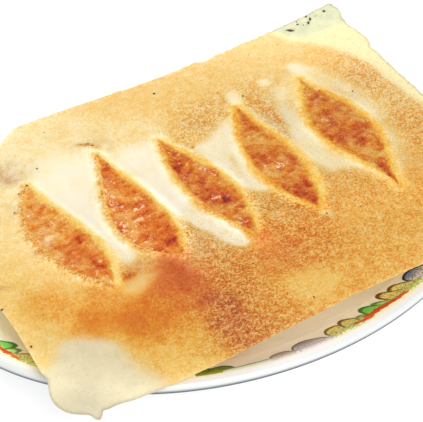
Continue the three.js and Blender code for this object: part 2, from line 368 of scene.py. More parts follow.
# %% [markdown]
# ## The sheet as a mesh
#
# A regular grid would leave stair steps along the ragged edge and the leaf-shaped openings. A
# Delaunay triangulation takes the edges as they are and fills the rest with points that are spread
# evenly, so the triangles are small everywhere and never slivers. The same triangles serve for the
# lower face.

# %% Spread points
SHEET_SPACING = 1.06
# how far a point of the grid is shaken, and how near it may come to an edge, as shares of the spacing
SHAKE = 0.16
CLEAR = 0.55
# the rows of an even triangular grid lie closer together than its points do
ROW_HEIGHT = 0.866


def inside_outline(outline, x, y):
    """Counts how often a line to the right of each point crosses the outline."""
    crossed = np.zeros(len(x), bool)
    ends = np.roll(outline, -1, axis=0)
    for (x0, y0), (x1, y1) in zip(outline, ends):
        if y0 == y1:
            continue
        spans = (y0 > y) != (y1 > y)
        crossed ^= spans & (x < (x1 - x0) * (y - y0) / (y1 - y0) + x0)
    return crossed


def spread_points():
    """Points of a shaken triangular grid between the edge of the sheet and its openings."""
    low, high = edge.min(axis=0), edge.max(axis=0)
    columns = np.arange(low[0], high[0], SHEET_SPACING)
    rows = np.arange(low[1], high[1], SHEET_SPACING * ROW_HEIGHT)
    x, y = np.meshgrid(columns, rows)
    x = x + (np.arange(len(rows)) % 2)[:, None] * SHEET_SPACING / 2
    shake = np.random.default_rng(31).uniform(-SHAKE, SHAKE, (2, *x.shape)) * SHEET_SPACING
    x, y = (x + shake[0]).ravel(), (y + shake[1]).ravel()
    borders = np.vstack([edge, *openings])
    tree = KDTree(len(borders))
    for i, point in enumerate(borders):
        tree.insert((*point, 0), i)
    tree.balance()
    clear = np.array([tree.find((a, b, 0))[2] for a, b in zip(x, y)]) > SHEET_SPACING * CLEAR
    keep = clear & inside_outline(edge, x, y)
    for hole in openings:
        keep &= ~inside_outline(hole, x, y)
    return np.column_stack([x[keep], y[keep]])


between = spread_points()
print(f"{len(between)} points between the edges")

# %% Triangulate between the edges
loops = [edge, *openings]
flat_points = np.vstack([*loops, between])
border_edges, start = [], 0
for loop in loops:
    border_edges += [(start + i, start + (i + 1) % len(loop)) for i in range(len(loop))]
    start += len(loop)
vectors = [Vector(point) for point in flat_points]
flat, _, flat_faces, *_ = delaunay_2d_cdt(vectors, border_edges, [], 0, 1e-5)
flat = np.array([tuple(point) for point in flat])
flat_faces = np.array([tuple(face) for face in flat_faces])
centres = flat[flat_faces].mean(axis=1)
wanted = inside_outline(edge, *centres.T)
for hole in openings:
    wanted &= ~inside_outline(hole, *centres.T)
flat_faces = flat_faces[wanted]
print(f"{len(flat)} points, {len(flat_faces)} triangles in one face of the sheet")

# %% [markdown]
# ## What the pan did to the batter
#
# The colour of the skirt tells its story. Batter that lay on the hot iron turned gold, orange or
# brown. Batter that a dumpling held up stayed milky. At the corners it ran out so thin that it dried
# pale and almost clear. We write that down as marks: `toast` for browning, `grit` for how grainy the
# crust is, `milky`, `thin`, and `rust` for the red-brown of the hottest spot.
#
# A few spots with a known state, blended by how near they are, give an even but never regular
# spread. The places are bent by noise first, so that no blend shows a straight or round border.

# %% Toast and grit
# x, y, toast, grit, and how far the spot reaches
BROWNED_SPOTS = [
    (-98, 25, 0.24, 0.25, 16), (-92, -8, 0.32, 0.3, 14), (-104, -8, 0.44, 0.3, 7),
    (-78, 68, 0.14, 0.2, 14), (-45, 78, 0.2, 0.25, 12), (-25, 68, 0.1, 0.25, 10),
    (-8, 80, 0.32, 0.3, 14), (-8, 60, 0.14, 0.25, 8), (25, 80, 0.32, 0.35, 14), (22, 54, 0.4, 1.1, 9),
    (20, 45, 0.47, 1.3, 5), (38, 58, 0.41, 1.0, 6), (60, 80, 0.3, 0.35, 15), (57, 55, 0.4, 1.0, 7),
    (54, 38, 0.37, 1.3, 5), (84, 80, 0.26, 0.3, 12), (95, 64, 0.43, 0.55, 9), (106, 48, 0.43, 1.1, 9),
    (110, 18, 0.42, 1.0, 12), (101, 20, 0.18, 0.4, 5), (108, -12, 0.5, 1.0, 14),
    (95, -45, 0.54, 0.6, 18), (62, -22, 0.5, 0.9, 9), (60, -45, 0.53, 0.6, 14),
    (45, -68, 0.58, 0.6, 14), (75, -75, 0.56, 0.5, 16), (22, -20, 0.48, 1.0, 7),
    (28, -34, 0.69, 1.1, 8), (18, -50, 0.71, 0.8, 11), (0, -46, 0.66, 0.6, 9), (-15, -30, 0.38, 1.2, 6),
    (-14, -45, 0.7, 1.2, 8), (-28, -62, 0.8, 1.2, 9), (-27, -78, 0.76, 1.1, 8), (-8, -74, 0.67, 0.8, 9),
    (8, -70, 0.48, 0.4, 7), (-46, -68, 0.58, 0.5, 8), (-52, -80, 0.42, 0.3, 7), (-48, -50, 0.8, 0.4, 8),
    (-60, -56, 0.92, 0.3, 7), (-76, -44, 0.81, 0.3, 8), (-93, -25, 0.78, 0.4, 6),
    (-102, -42, 0.36, 0.25, 9), (-107, -54, 0.24, 0.15, 5), (-78, -40, 0.84, 0.4, 3),
    (-84, -62, 0.4, 0.2, 8), (-66, -74, 0.46, 0.3, 9), (-54, -22, 0.42, 0.5, 5),
    (-66, -34, 0.6, 0.4, 6), (-52, 48, 0.12, 0.1, 12), (-70, 54, 0.12, 0.15, 8),
    (-92, 50, 0.18, 0.2, 14), (16, 42, 0.3, 0.6, 5),
]
# far from every spot this keeps the blend from dividing by nothing
LEAST_WEIGHT = 1e-9


def bent(x, y):
    """Places pushed about by noise, so that borders between zones wander."""
    dx = layered(x, y, [(3.2, 13, 41), (1.3, 5, 42)])
    dy = layered(x, y, [(3.2, 13, 43), (1.3, 5, 44)])
    return x + dx, y + dy


def browned(x, y):
    """Toast and grit, blended from the spots."""
    weights = total_toast = total_grit = 0
    for spot_x, spot_y, toast, grit, reach in BROWNED_SPOTS:
        away = (x - spot_x) ** 2 + (y - spot_y) ** 2
        weight = np.exp(-away / (2 * reach**2)) + LEAST_WEIGHT
        weights = weights + weight
        total_toast = total_toast + weight * toast
        total_grit = total_grit + weight * grit
    return total_toast / weights, total_grit / weights


for place_name, spot in (("back left", (-50.0, 75.0)), ("front middle", (-30.0, -60.0))):
    toast, grit = browned(*(np.array([value]) for value in spot))
    print(f"{place_name}: toast {toast[0]:.2f}, grit {grit[0]:.2f}")

# %% [markdown]
# The milky pools and the thin corners have clearer borders than the browning, so each is a closed
# line of a few points, rounded by a spline. The distance to that line then gives a border as soft
# or as sharp as we like.

# %% Closed lines for pools and corners
# `milk` and `thin` say how milky or thin the middle is, `soft` how wide the border is towards the
# front, and `soft_top` how wide it is towards the back
MILKY_POOLS = [
    dict(milk=1.0, soft=6, soft_top=13, line=[
        (-64, 38), (-62, 50), (-52, 58), (-40, 55), (-36, 44), (-41, 34), (-46, 20), (-48, 4),
        (-46, -10), (-48, -19), (-54, -16), (-57, 0), (-59, 16), (-62, 30)]),
    dict(milk=1.0, soft=4, soft_top=10, line=[
        (-26, 42), (-20, 48), (-10, 47), (-5, 42), (-9, 28), (-11, 8), (-8, -6), (-1, -19), (1, -30),
        (-3, -36), (-9, -30), (-15, -18), (-19, -8), (-21, 6), (-21, 20), (-24, 34)]),
    dict(milk=0.79, soft=5, soft_top=5, line=[
        (6, 36), (17, 38), (26, 43), (36, 46), (36, 38), (30, 26), (27, 8), (27, -6), (22, -8),
        (12, 0), (11, 12), (9, 28)]),
    dict(milk=0.71, soft=5, soft_top=9, line=[
        (61, 46), (66, 54), (72, 55), (76, 52), (72, 44), (67, 32), (65, 14), (67, -2), (74, -16),
        (74, -26), (66, -16), (55, -9), (50, 4), (52, 20), (58, 34), (62, 48)]),
    dict(milk=0.58, soft=7, soft_top=7, line=[
        (77, 58), (86, 66), (95, 58), (102, 44), (106, 30), (105, 12), (101, -4), (94, -18), (86, -30),
        (80, -32), (86, -12), (91, 4), (91, 20), (88, 36), (82, 48)]),
    dict(milk=0.7, soft=3, soft_top=3, line=[(41, 56), (43, 63), (49, 64), (51, 57), (46, 51)]),
    dict(milk=0.7, soft=3, soft_top=3, line=[(62, 60), (64, 64), (69, 63), (69, 58), (65, 57)]),
    dict(milk=0.85, soft=3, soft_top=4, line=[(80, 60), (81, 66), (87, 66), (89, 59), (85, 56)]),
    dict(milk=0.62, soft=6, soft_top=6, line=[(-62, -36), (-57, -31), (-51, -29), (-46, -33),
                                              (-50, -39), (-57, -41)]),
    dict(milk=0.6, soft=2, soft_top=2, line=[(35, -36), (38, -33), (41, -36), (38, -40)]),
    dict(milk=0.5, soft=4, soft_top=4, line=[(31, 40), (44, 50), (51, 44), (52, 30), (52, 12), (46, 30)]),
    dict(milk=0.3, soft=5, soft_top=3, line=[(-1, -60), (-2, -70), (1, -78), (10, -80), (22, -76),
                                             (30, -66), (18, -63), (6, -60)]),
]
THIN_CORNERS = [
    dict(thin=1.0, soft=7, soft_top=7, line=[
        (84, 102), (88, 90), (94, 81), (100, 74), (107, 67), (112, 58), (115, 48), (116, 34), (118, 16),
        (121, 0), (136, 0), (136, 106), (110, 110)]),
    dict(thin=0.7, soft=13, soft_top=6, line=[
        (-120, -60), (-109, -56), (-102, -49), (-95, -44), (-86, -46), (-78, -54), (-72, -66), (-67, -77),
        (-62, -90), (-74, -98), (-118, -98)]),
]
# the very tip of the back corner, where the batter is like glass
GLASSY_TIP = [(84, 108), (92, 87), (100, 82), (112, 80), (122, 80), (134, 82), (136, 108)]
print(f"{len(MILKY_POOLS)} milky pools, {len(THIN_CORNERS)} thin corners")


# %% Distance to a closed line
def rounded(line, steps=6):
    """A closed spline through a few points."""
    points = np.array(line, float)
    before, after = np.roll(points, 1, axis=0), np.roll(points, -1, axis=0)
    beyond = np.roll(points, -2, axis=0)
    curve = []
    for t in np.linspace(0, 1, steps, endpoint=False):
        curve.append(0.5 * (2 * points + (after - before) * t
                            + (2 * before - 5 * points + 4 * after - beyond) * t**2
                            + (3 * points - before - 3 * after + beyond) * t**3))
    return np.stack(curve, axis=1).reshape(-1, 2)


def depth_within(line, x, y):
    """How far points lie inside a closed line in mm; outside they are below 0."""
    outline = rounded(line)
    best = np.full(len(x), np.inf)
    for (x0, y0), (x1, y1) in zip(outline, np.roll(outline, -1, axis=0)):
        dx, dy = x1 - x0, y1 - y0
        t = np.clip(((x - x0) * dx + (y - y0) * dy) / (dx * dx + dy * dy + 1e-12), 0, 1)
        best = np.minimum(best, np.hypot(x - x0 - t * dx, y - y0 - t * dy))
    return np.where(inside_outline(outline, x, y), best, -best)


depth = depth_within(MILKY_POOLS[0]["line"], np.array([-50.0]), np.array([40.0]))[0]
print(f"the point (-50, 40) lies {depth:.1f} mm inside the first pool")

# %% [markdown]
# Smaller things are soft ovals: the red-brown patches where the batter stuck, dabs of crust in the
# milk, smooth and scratched places in the grain, and bruises, where something dark lies under the
# skin. The largest bruise, at the back left, is a painted shade where the sheet bends down. Milk and
# thin corners wander a little less than the browning does.

# %% Soft ovals
# x, y, half length, half width, turn, strength
RUSTY_SPOTS = [
    (-35, -37, 12, 15, 10, 1.15), (-33, -52, 9, 8, 0, 0.85), (-42, -27, 4, 7, 0, 0.6),
    (4, -36, 4, 7, 0, 0.7), (-27, -70, 9, 15, 0, 0.55), (8, -48, 12, 9, 0, 0.4),
    (-105, -10, 3, 1.4, -10, 0.6), (-45, -42, 6, 8, 0, 0.3), (-50, -24, 7, 6, 0, 0.35),
]
# the first bruise is a painted shade where the sheet bends down at the back left; the others are dark
# spots under the skin
BRUISES_AND_BEND_SHADE = [
    (-72, 60, 10, 7, 0, 1.0), (-31.5, 60.5, 4.2, 1.8, -40, 1.0), (-30, 62, 8, 4.5, 0, 0.5),
    (-82, 6, 3, 4, 0, 0.3), (-80, 35, 3, 6, 0, 0.4), (-50, -23, 8, 6, 0, 0.3),
    (-54, -35, 6, 4, 0, 0.2), (-105, -10, 4, 2, -10, 0.6),
]
SMOOTH_SPOTS = [(-34, -38, 11, 14, 10, 1.0), (4, -40, 4, 6, 0, 0.6), (-72, -48, 16, 9, -20, 0.8)]
SCRATCHED = [
    (-12, -40, 15, 18, 0, 1.0), (38, -52, 26, 10, 0, 0.8), (-46, -30, 10, 8, 0, 0.6),
    (92, -20, 14, 10, 0, 0.8), (52, -8, 8, 10, 0, 0.6), (20, -18, 8, 12, 0, 0.6),
]
# x, y, half length, half width, turn, and how much toast the dab adds
DABS = [
    (-17, -13, 2.4, 8, 8, 0.14), (-31.5, 60.6, 3.8, 1.3, -40, 0.62), (-54.5, -27, 4.6, 3.8, 40, 0.34),
    (21, 16, 2.6, 8, 0, 0.07), (8, 36, 1.2, 2.6, -30, 0.45), (55, 44, 2, 6, 15, 0.2),
    (57, 32, 1.6, 5, -8, 0.25),
]
# where the sheet hangs over the plate's rim, in its own shade
HANGING = (-82, -46, 32, 22)


def soft_spot(x, y, spot_x, spot_y, long, short, turn=0):
    """1 in the middle of an oval spot, fading to 0; long and short are its half sizes."""
    c, s = math.cos(math.radians(turn)), math.sin(math.radians(turn))
    dx, dy = x - spot_x, y - spot_y
    return np.exp(-(((dx * c + dy * s) / long) ** 2 + ((dy * c - dx * s) / short) ** 2))


def strongest(x, y, spots):
    """The strongest of several soft spots at each place."""
    return np.max([spot[5] * soft_spot(x, y, *spot[:5]) for spot in spots], axis=0)


print(f"{len(RUSTY_SPOTS)} rusty spots, {len(DABS)} dabs, {len(BRUISES_AND_BEND_SHADE)} bruises")

# %% Milk and thin corners
# the share of the browning's wandering that these borders follow
WANDER = 0.6


def milk_and_thin(x, y, bent_x, bent_y):
    """How milky and how thin the batter is."""
    px, py = bent_x * WANDER + x * (1 - WANDER), bent_y * WANDER + y * (1 - WANDER)
    towards_back = smooth(20, 50, y)
    milky = np.zeros(len(x))
    for pool in MILKY_POOLS:
        soft = pool["soft"] + (pool["soft_top"] - pool["soft"]) * towards_back
        milky = np.maximum(milky, pool["milk"] * smooth(-soft, soft, depth_within(pool["line"], px, py)))
    towards_base = smooth(-48, -28, y - 0.35 * x)
    thin = np.zeros(len(x))
    for corner in THIN_CORNERS:
        soft = corner["soft"] + (corner["soft_top"] - corner["soft"]) * towards_base
        thin = np.maximum(thin, corner["thin"] * smooth(-2, soft, depth_within(corner["line"], px, py)))
    return milky, thin + 0.4 * smooth(-3, 5, depth_within(GLASSY_TIP, px, py))


back_corner = [np.array([value]) for value in (120.0, 90.0)]
milky, thin = milk_and_thin(*back_corner, *back_corner)
print(f"the back right corner: milky {milky[0]:.2f}, thin {thin[0]:.2f}")

# %% [markdown]
# Right beside each base the batter is clear and yellow, because the fat from the dumpling fried it
# there. So every base gets a gold line, browned most at the base itself, before the milky zone
# begins. Where the crust scorched, no line shows. The left sides of the first dumplings are crumbly.

# %% The gold line of fat
# how crumbly the left side of each base is
ROUGH_SIDES = np.array([1.0, 0.8, 0.5, 0.1, 0.1])
# for the left and the right side of each base: how far the gold reaches in mm, and how browned the
# batter is right at the base
FAT_REACH = np.array([(4.0, 4.0), (4.0, 2.8), (3.8, 2.5), (4.4, 4.6), (4.0, 5.0)])
EDGE_TOASTS = np.array([(0.64, 0.49), (0.51, 0.48), (0.65, 0.56), (0.7, 0.58), (0.6, 0.6)])
LEAST_REACH = 0.8
# rust from which the crust counts as scorched, and above which it is wholly so
SCORCHED = (0.15, 0.5)


def fried_in_fat(x, y, rust):
    """Beside the bases: how gold the batter is, how browned, how crumbly, and how far it is away."""
    distance, s, side, number = nearest_base(x, y)
    crumbly = ROUGH_SIDES[number] * (side < 0)
    right = (side > 0).astype(int)
    reach = FAT_REACH[number, right] * (1 + 0.35 * lumps(x, y, 7, 52)) + 0.6 * crumbly
    reach = reach + (0.5 + 1.3 * crumbly) * lumps(x, y, 2.4, 51)
    near = distance / np.maximum(LEAST_REACH, reach)
    gold = (1 - smooth(0.1, 1, near)) * (1 - smooth(1.02, 1.1, abs(s))) * (1 - smooth(*SCORCHED, rust))
    toast = EDGE_TOASTS[number, right] - 0.26 * smooth(0, 0.8, near) + 0.05 * crumbly
    return gold, toast + 0.1 * lumps(x, y, 6, 53), crumbly, distance


print(f"the gold reaches {FAT_REACH.min()} to {FAT_REACH.max()} mm from a base")

# %% [markdown]
# Now all the marks together. Five more join them: `thick` beside a base, `hanging` where the sheet is
# in its own shade, `front` for the front and the left end, `back` for the right half with the back
# corner, and `rim` right at the edge.

# %% The marks of the sheet
def sheet_marks(x, y):
    """Every mark of the sheet but rim, by its name, from 0 for none to about 1."""
    px, py = bent(x, y)
    toast, grit = browned(px, py)
    milky, thin = milk_and_thin(x, y, px, py)
    rust = strongest(px, py, RUSTY_SPOTS)
    toast = toast + 0.2 * rust
    for spot_x, spot_y, long, short, turn, depth in DABS:
        spot = soft_spot(px, py, spot_x, spot_y, long, short, turn)
        toast, milky = toast + depth * spot, milky * (1 - min(0.8, 4 * depth) * spot)
        grit = np.maximum(grit, np.minimum(1, 2.5 * depth * spot))
    calm = strongest(px, py, SMOOTH_SPOTS)
    grit = grit * (1 - 0.85 * calm)
    gold, fried_edge, crumbly, distance = fried_in_fat(x, y, rust)
    over_the_rim = smooth(62, 80, -y) * smooth(84, 100, -x)
    return dict(
        toast=toast * (1 - gold) + gold * fried_edge,
        grit=grit * (1 - gold) + gold * (0.15 + 0.75 * crumbly),
        milky=milky * (1 - gold),
        thin=thin,
        rust=rust * (1 - 0.7 * gold) + 0.4 * crumbly * gold,
        gold=gold,
        bruise_and_bend_shade=strongest(px, py, BRUISES_AND_BEND_SHADE),
        scratched=strongest(px, py, SCRATCHED) * (1 - calm),
        thick=1 - smooth(0.5, 7, distance),
        hanging=np.maximum(over_the_rim, 0.2 * soft_spot(x, y, *HANGING)),
        front=np.maximum(smooth(36, 62, -y), 0.8 * smooth(86, 100, -x)),
        back=smooth(-20, 20, x),
    )


def distance_to_edge(x, y):
    tree = KDTree(len(edge))
    for i, point in enumerate(edge):
        tree.insert((*point, 0), i)
    tree.balance()
    return np.array([tree.find((a, b, 0))[2] for a, b in zip(x, y)])


to_edge = distance_to_edge(*flat.T)
sheet = sheet_marks(*flat.T)
sheet["rim"] = 1 - smooth(0.2, 1.3, to_edge)
for mark, values in sheet.items():
    print(f"{mark}: {values.min():.2f} to {values.max():.2f}, mean {values.mean():.2f}")

# %% [markdown]
# The relief of the crust is part of the mesh where it is wider than a millimetre or two: shallow
# swells from the simmering batter and the crumbly crust of the browned zones. Finer grain than the
# triangles can hold is left to the finish. The batter thins towards its edge and in the thin corners.

# %% Build the sheet
SHEET_THICKNESS = 0.85
# the share of the thickness that is left right at the edge, and the share lost in a thin corner
EDGE_SHARE = 0.55
THIN_LOSS = 0.3
# height, size and seed
SWELLS = [(0.16, 9, 61), (0.09, 4.4, 62)]


def crust_relief(x, y, marks):
    """How far the crust stands up or lies low, in mm; nothing beside a base, so that they join."""
    swells = layered(x, y, SWELLS)
    crumbs = 0.15 * lumps(x, y, 2.2, 63) * marks["grit"] * (1 - marks["milky"]) * (1 - marks["thin"])
    distance, _, _, _ = nearest_base(x, y)
    return (swells + crumbs) * smooth(0, 2.5, distance)


def build_sheet():
    """The upper face, the same triangles turned over below it, and walls along every border."""
    x, y = flat.T
    top = sheet_height(x, y) + crust_relief(x, y, sheet)
    towards_middle = EDGE_SHARE + (1 - EDGE_SHARE) * smooth(0, 5, to_edge)
    thickness = SHEET_THICKNESS * towards_middle * (1 - THIN_LOSS * sheet["thin"])
    points = np.vstack([np.column_stack([x, y, top]), np.column_stack([x, y, top - thickness])])
    count = len(flat)
    a, b, c = flat_faces.T
    first, second = flat[b] - flat[a], flat[c] - flat[a]
    down = first[:, 0] * second[:, 1] - first[:, 1] * second[:, 0] < 0
    upper = flat_faces.copy()
    upper[down] = upper[down][:, ::-1]
    lower = upper[:, ::-1] + count
    directed = np.vstack([upper[:, [0, 1]], upper[:, [1, 2]], upper[:, [2, 0]]])
    _, index, times = np.unique(np.sort(directed, axis=1), axis=0, return_index=True, return_counts=True)
    rim = directed[index[times == 1]]
    walls = np.column_stack([rim[:, 1], rim[:, 0], rim[:, 0] + count, rim[:, 1] + count])
    faces = upper.tolist() + lower.tolist() + walls.tolist()
    marks = {mark: np.concatenate([values, values]) for mark, values in sheet.items()}
    return make_piece("starch_sheet", points, faces, marks)


starch_sheet = build_sheet()
describe(starch_sheet)
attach(starch_sheet, "root")
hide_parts("crisp_skirt")

# %% [markdown]
# ## Burnt flecks
#
# A few crumbs of batter burnt black on the pan and stuck. Many are no larger than one of the sheet's
# triangles, so each is a little chip of its own with an uneven outline and a low crown. The largest
# ones sit on the thin back corner.

# %% Build the flecks
FLECK_SIDES = 9
# x, y, length, width, turn
FLECKS = [
    (97.6, 90.2, 5.0, 2.1, -42), (108.6, 90.6, 3.4, 1.5, 60), (110.8, 92.6, 3.6, 1.5, 62),
    (110.2, 95.4, 2.1, 1.2, 10), (103.2, 92.4, 1.8, 1.1, 0), (105.4, 90.4, 1.0, 0.7, 30),
    (120.2, 94.4, 2.6, 2.0, 80), (114.4, 93.2, 1.2, 0.8, 0), (104.0, 94.6, 1.0, 0.7, 50),
    (14.5, 80.0, 1.9, 1.4, 20), (-67.6, 47.6, 1.8, 1.2, 10), (-73.2, 44.2, 1.7, 0.9, 20),
    (-80.0, 33.6, 1.3, 0.9, 70), (-58.6, 56.0, 1.3, 0.9, 70), (-63.8, 48.2, 0.8, 0.5, 0),
    (50.4, 56.8, 1.5, 1.0, 0), (41.0, 65.2, 0.8, 0.6, 0), (98.9, 35.0, 1.1, 0.9, 0),
    (38.8, -35.6, 1.7, 1.0, 75), (29.0, -51.0, 1.0, 0.7, 0), (6.0, -77.0, 2.0, 0.8, 80),
    (-20.0, -81.0, 1.5, 0.8, 15), (-110.2, -20.6, 1.5, 1.0, 0), (-108.2, -44.4, 1.5, 1.0, 60),
    (-33.6, 61.2, 1.2, 0.7, -30), (-30.6, 60.2, 1.5, 0.8, -40), (-29.6, 58.0, 1.0, 0.6, -40),
    (-4.6, 70.0, 0.7, 0.5, 0), (86.0, 84.0, 0.8, 0.5, 40), (54.6, -39.0, 1.0, 0.7, 0),
    (-5.8, -47.2, 1.1, 0.8, 0), (47.0, -51.0, 0.8, 0.5, 0), (70.0, 84.6, 0.6, 0.5, 0),
    (-44.8, 78.0, 0.8, 0.6, 20), (-51.6, 78.2, 0.9, 0.5, 0), (-99.4, -68.0, 0.6, 0.5, 0),
    (10.6, 35.0, 1.2, 0.7, -40), (26.0, 44.0, 1.0, 0.5, 30), (10.4, 43.8, 0.9, 0.6, 0),
]
FLECK_CROWN = 0.28
FLECK_SUNK = 0.3
# of each ring of points: how far out it is, and how high, as shares of the fleck's reach and crown
FLECK_RINGS = [(0.6, 0.75), (1.0, -FLECK_SUNK / FLECK_CROWN)]
FLECK_UNEVEN = 0.25


def build_flecks():
    """All flecks as one mesh: each a fan over a ring, with an outer ring that sinks into the sheet."""
    rng = np.random.default_rng(91)
    points, faces = [], []
    for x, y, length, width, turn in FLECKS:
        start = len(points)
        c, s = math.cos(math.radians(turn)), math.sin(math.radians(turn))
        for ring, rise_share in FLECK_RINGS:
            for k in range(FLECK_SIDES):
                angle = 2 * math.pi * k / FLECK_SIDES
                reach = ring * (1 + (FLECK_UNEVEN * rng.uniform(-1, 1) if ring == 1 else 0))
                a, b = length / 2 * reach * math.cos(angle), width / 2 * reach * math.sin(angle)
                px, py = x + a * c - b * s, y + a * s + b * c
                z = float(sheet_height(np.array([px]), np.array([py]))[0])
                points.append((px, py, z + FLECK_CROWN * rise_share * min(1.0, width)))
        top = len(points)
        z = float(sheet_height(np.array([x]), np.array([y]))[0])
        points.append((x, y, z + FLECK_CROWN * min(1.0, width)))
        for k in range(FLECK_SIDES):
            n = (k + 1) % FLECK_SIDES
            faces.append((start + k, start + n, top))
            faces.append((start + k, start + FLECK_SIDES + k, start + FLECK_SIDES + n, start + n))
        faces.append(tuple(start + FLECK_SIDES + k for k in reversed(range(FLECK_SIDES))))
    return make_piece("burnt_flecks", points, faces)


burnt_flecks = build_flecks()
describe(burnt_flecks)
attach(burnt_flecks, "root")

# %% [markdown]
# ## The dumplings
#
# Seen from above only the flat, fried base shows, but from the side each dumpling is a plump
# crescent that narrows to a pleated seam, which points down into the plate. The body is built from
# cross-sections along its length: over the base, round the belly, down to the seam and back up. The
# base needs small triangles for its wrinkles; the belly needs fewer.

# %% The shape of a cross-section
TIP_DEPTH = 6
GYOZA_DEPTH = 26.95
BASE_BELOW_SKIRT = 0.2
NECK_DEPTH = 2.4
BULGE = 2.2
BULGE_MIDDLE = 2.0
PLEATS = 6
PLEAT_DEPTH = 1.6
SEAM_WAVE = 1.1
# how deep and how wide the body is from neck to seam, as shares of its full depth and width
RING_DEPTHS = [0, 0.1, 0.23, 0.4, 0.56, 0.68, 0.79, 0.9, 1]
RING_WIDTHS = [None, 0.84, 0.97, 1, 0.87, 0.62, 0.34, 0.2, 0.13]
BELLY_RINGS = 22


def eased(value, xs, ys):
    """Reads a table with a smooth curve through its rows instead of straight lines."""
    slopes = np.gradient(ys, xs)
    i = np.clip(np.searchsorted(xs, value) - 1, 0, len(xs) - 2)
    step = xs[i + 1] - xs[i]
    t = (value - xs[i]) / step
    return (ys[i] * (1 + 2 * t) * (1 - t) ** 2 + slopes[i] * step * t * (1 - t) ** 2
            + ys[i + 1] * t**2 * (3 - 2 * t) - slopes[i + 1] * step * t**2 * (1 - t))


def belly(gyoza, s, side, edge_n, edge_z):
    """One side of the body at s: lists of n and z from just under the base to the seam."""
    arch = max(0.0, 1 - s * s) ** 0.6
    full = half_width(gyoza, s) + BULGE + BULGE_MIDDLE * arch
    depth = TIP_DEPTH + (GYOZA_DEPTH - TIP_DEPTH) * arch
    shares = np.linspace(0, 1, BELLY_RINGS)
    widths = np.array([edge_n / full, *RING_WIDTHS[1:]], float)
    n = full * eased(shares, np.array(RING_DEPTHS, float), widths)
    low = smooth(0.35, 0.9, shares) * arch
    count = (s + 1) / 2 * PLEATS
    fold = PLEAT_DEPTH * low * (count - math.floor(count) - 0.5) if side > 0 else 0
    wave = SEAM_WAVE * arch * math.sin(math.pi * PLEATS * (s + 1)) * low**2
    bottom = SKIRT_HEIGHT - BASE_BELOW_SKIRT - depth
    z = (edge_z - NECK_DEPTH) + shares * (bottom - (edge_z - NECK_DEPTH))
    return side * n + fold + wave, z


belly_n, belly_z = belly(GYOZA[2], 0.0, -1, half_width(GYOZA[2], 0.0), SKIRT_HEIGHT)
print(f"the middle dumpling is {2 * np.abs(belly_n).max():.1f} mm wide and ends {belly_z[-1]:.1f} mm up")

# %% [markdown]
# The fried base isn't flat like paper. Dough wrinkles across as it shrinks, blisters where steam
# pushed it up, and ends in a low rounded rim. Those are the swells and folds below. They fade at the
# edge, so that base and skirt stay joined.

# %% The relief of a base
# one number for each base, from left to right: how deep its wrinkles are
WRINKLES = [0.7, 0.8, 0.5, 0.4, 0.55]
WRINKLE_SPACING = 3.6
WRINKLE_HEIGHT = 0.42
# height, size and seed
WRINKLE_BENDS = [(2.4, 10, 81), (1.0, 4, 86)]
BLISTERS = [(0.34, 4.6, 83), (0.3, 2.3, 84), (0.16, 1.4, 85)]


def base_relief(number, gyoza, s, x, y, rim):
    """The wrinkles and blisters of a base, in mm."""
    lengthwise = s * gyoza["length"] / 2 - 0.3 * (x - gyoza["x"]) + layered(x, y, WRINKLE_BENDS)
    folds = 1 - 2 * np.abs(np.sin(lengthwise * math.pi / WRINKLE_SPACING)) ** 0.8
    folds = folds * (0.6 + 0.4 * lumps(x, y, 7, 82))
    return (WRINKLES[number] * WRINKLE_HEIGHT * folds + layered(x, y, BLISTERS)) * rim


print("wrinkle depths in mm:", [round(WRINKLE_HEIGHT * depth, 2) for depth in WRINKLES])

# %% [markdown]
# The skin is browned in its own way on each base: more where it lay hard on the iron, less where
# steam held it up, and pale on top of some wrinkles, where a highlight is painted. `toast` and `rust`
# mean what they mean on the sheet, and the blush is the pale, moist skin together with that painted
# highlight.

# %% What is browned on the bases
# one number for each base: its toast, and how dusky the browning looks
BASE_TOAST = [0.63, 0.74, 0.79, 0.77, 0.74]
DUSK = [0.3, 0.2, 0.7, 0.85, 0.9]
# how strong the painted highlight on the tops of the wrinkles is
PAINTED_SHINE = [0.62, 0.72, 0.45, 0.4, 0.45]
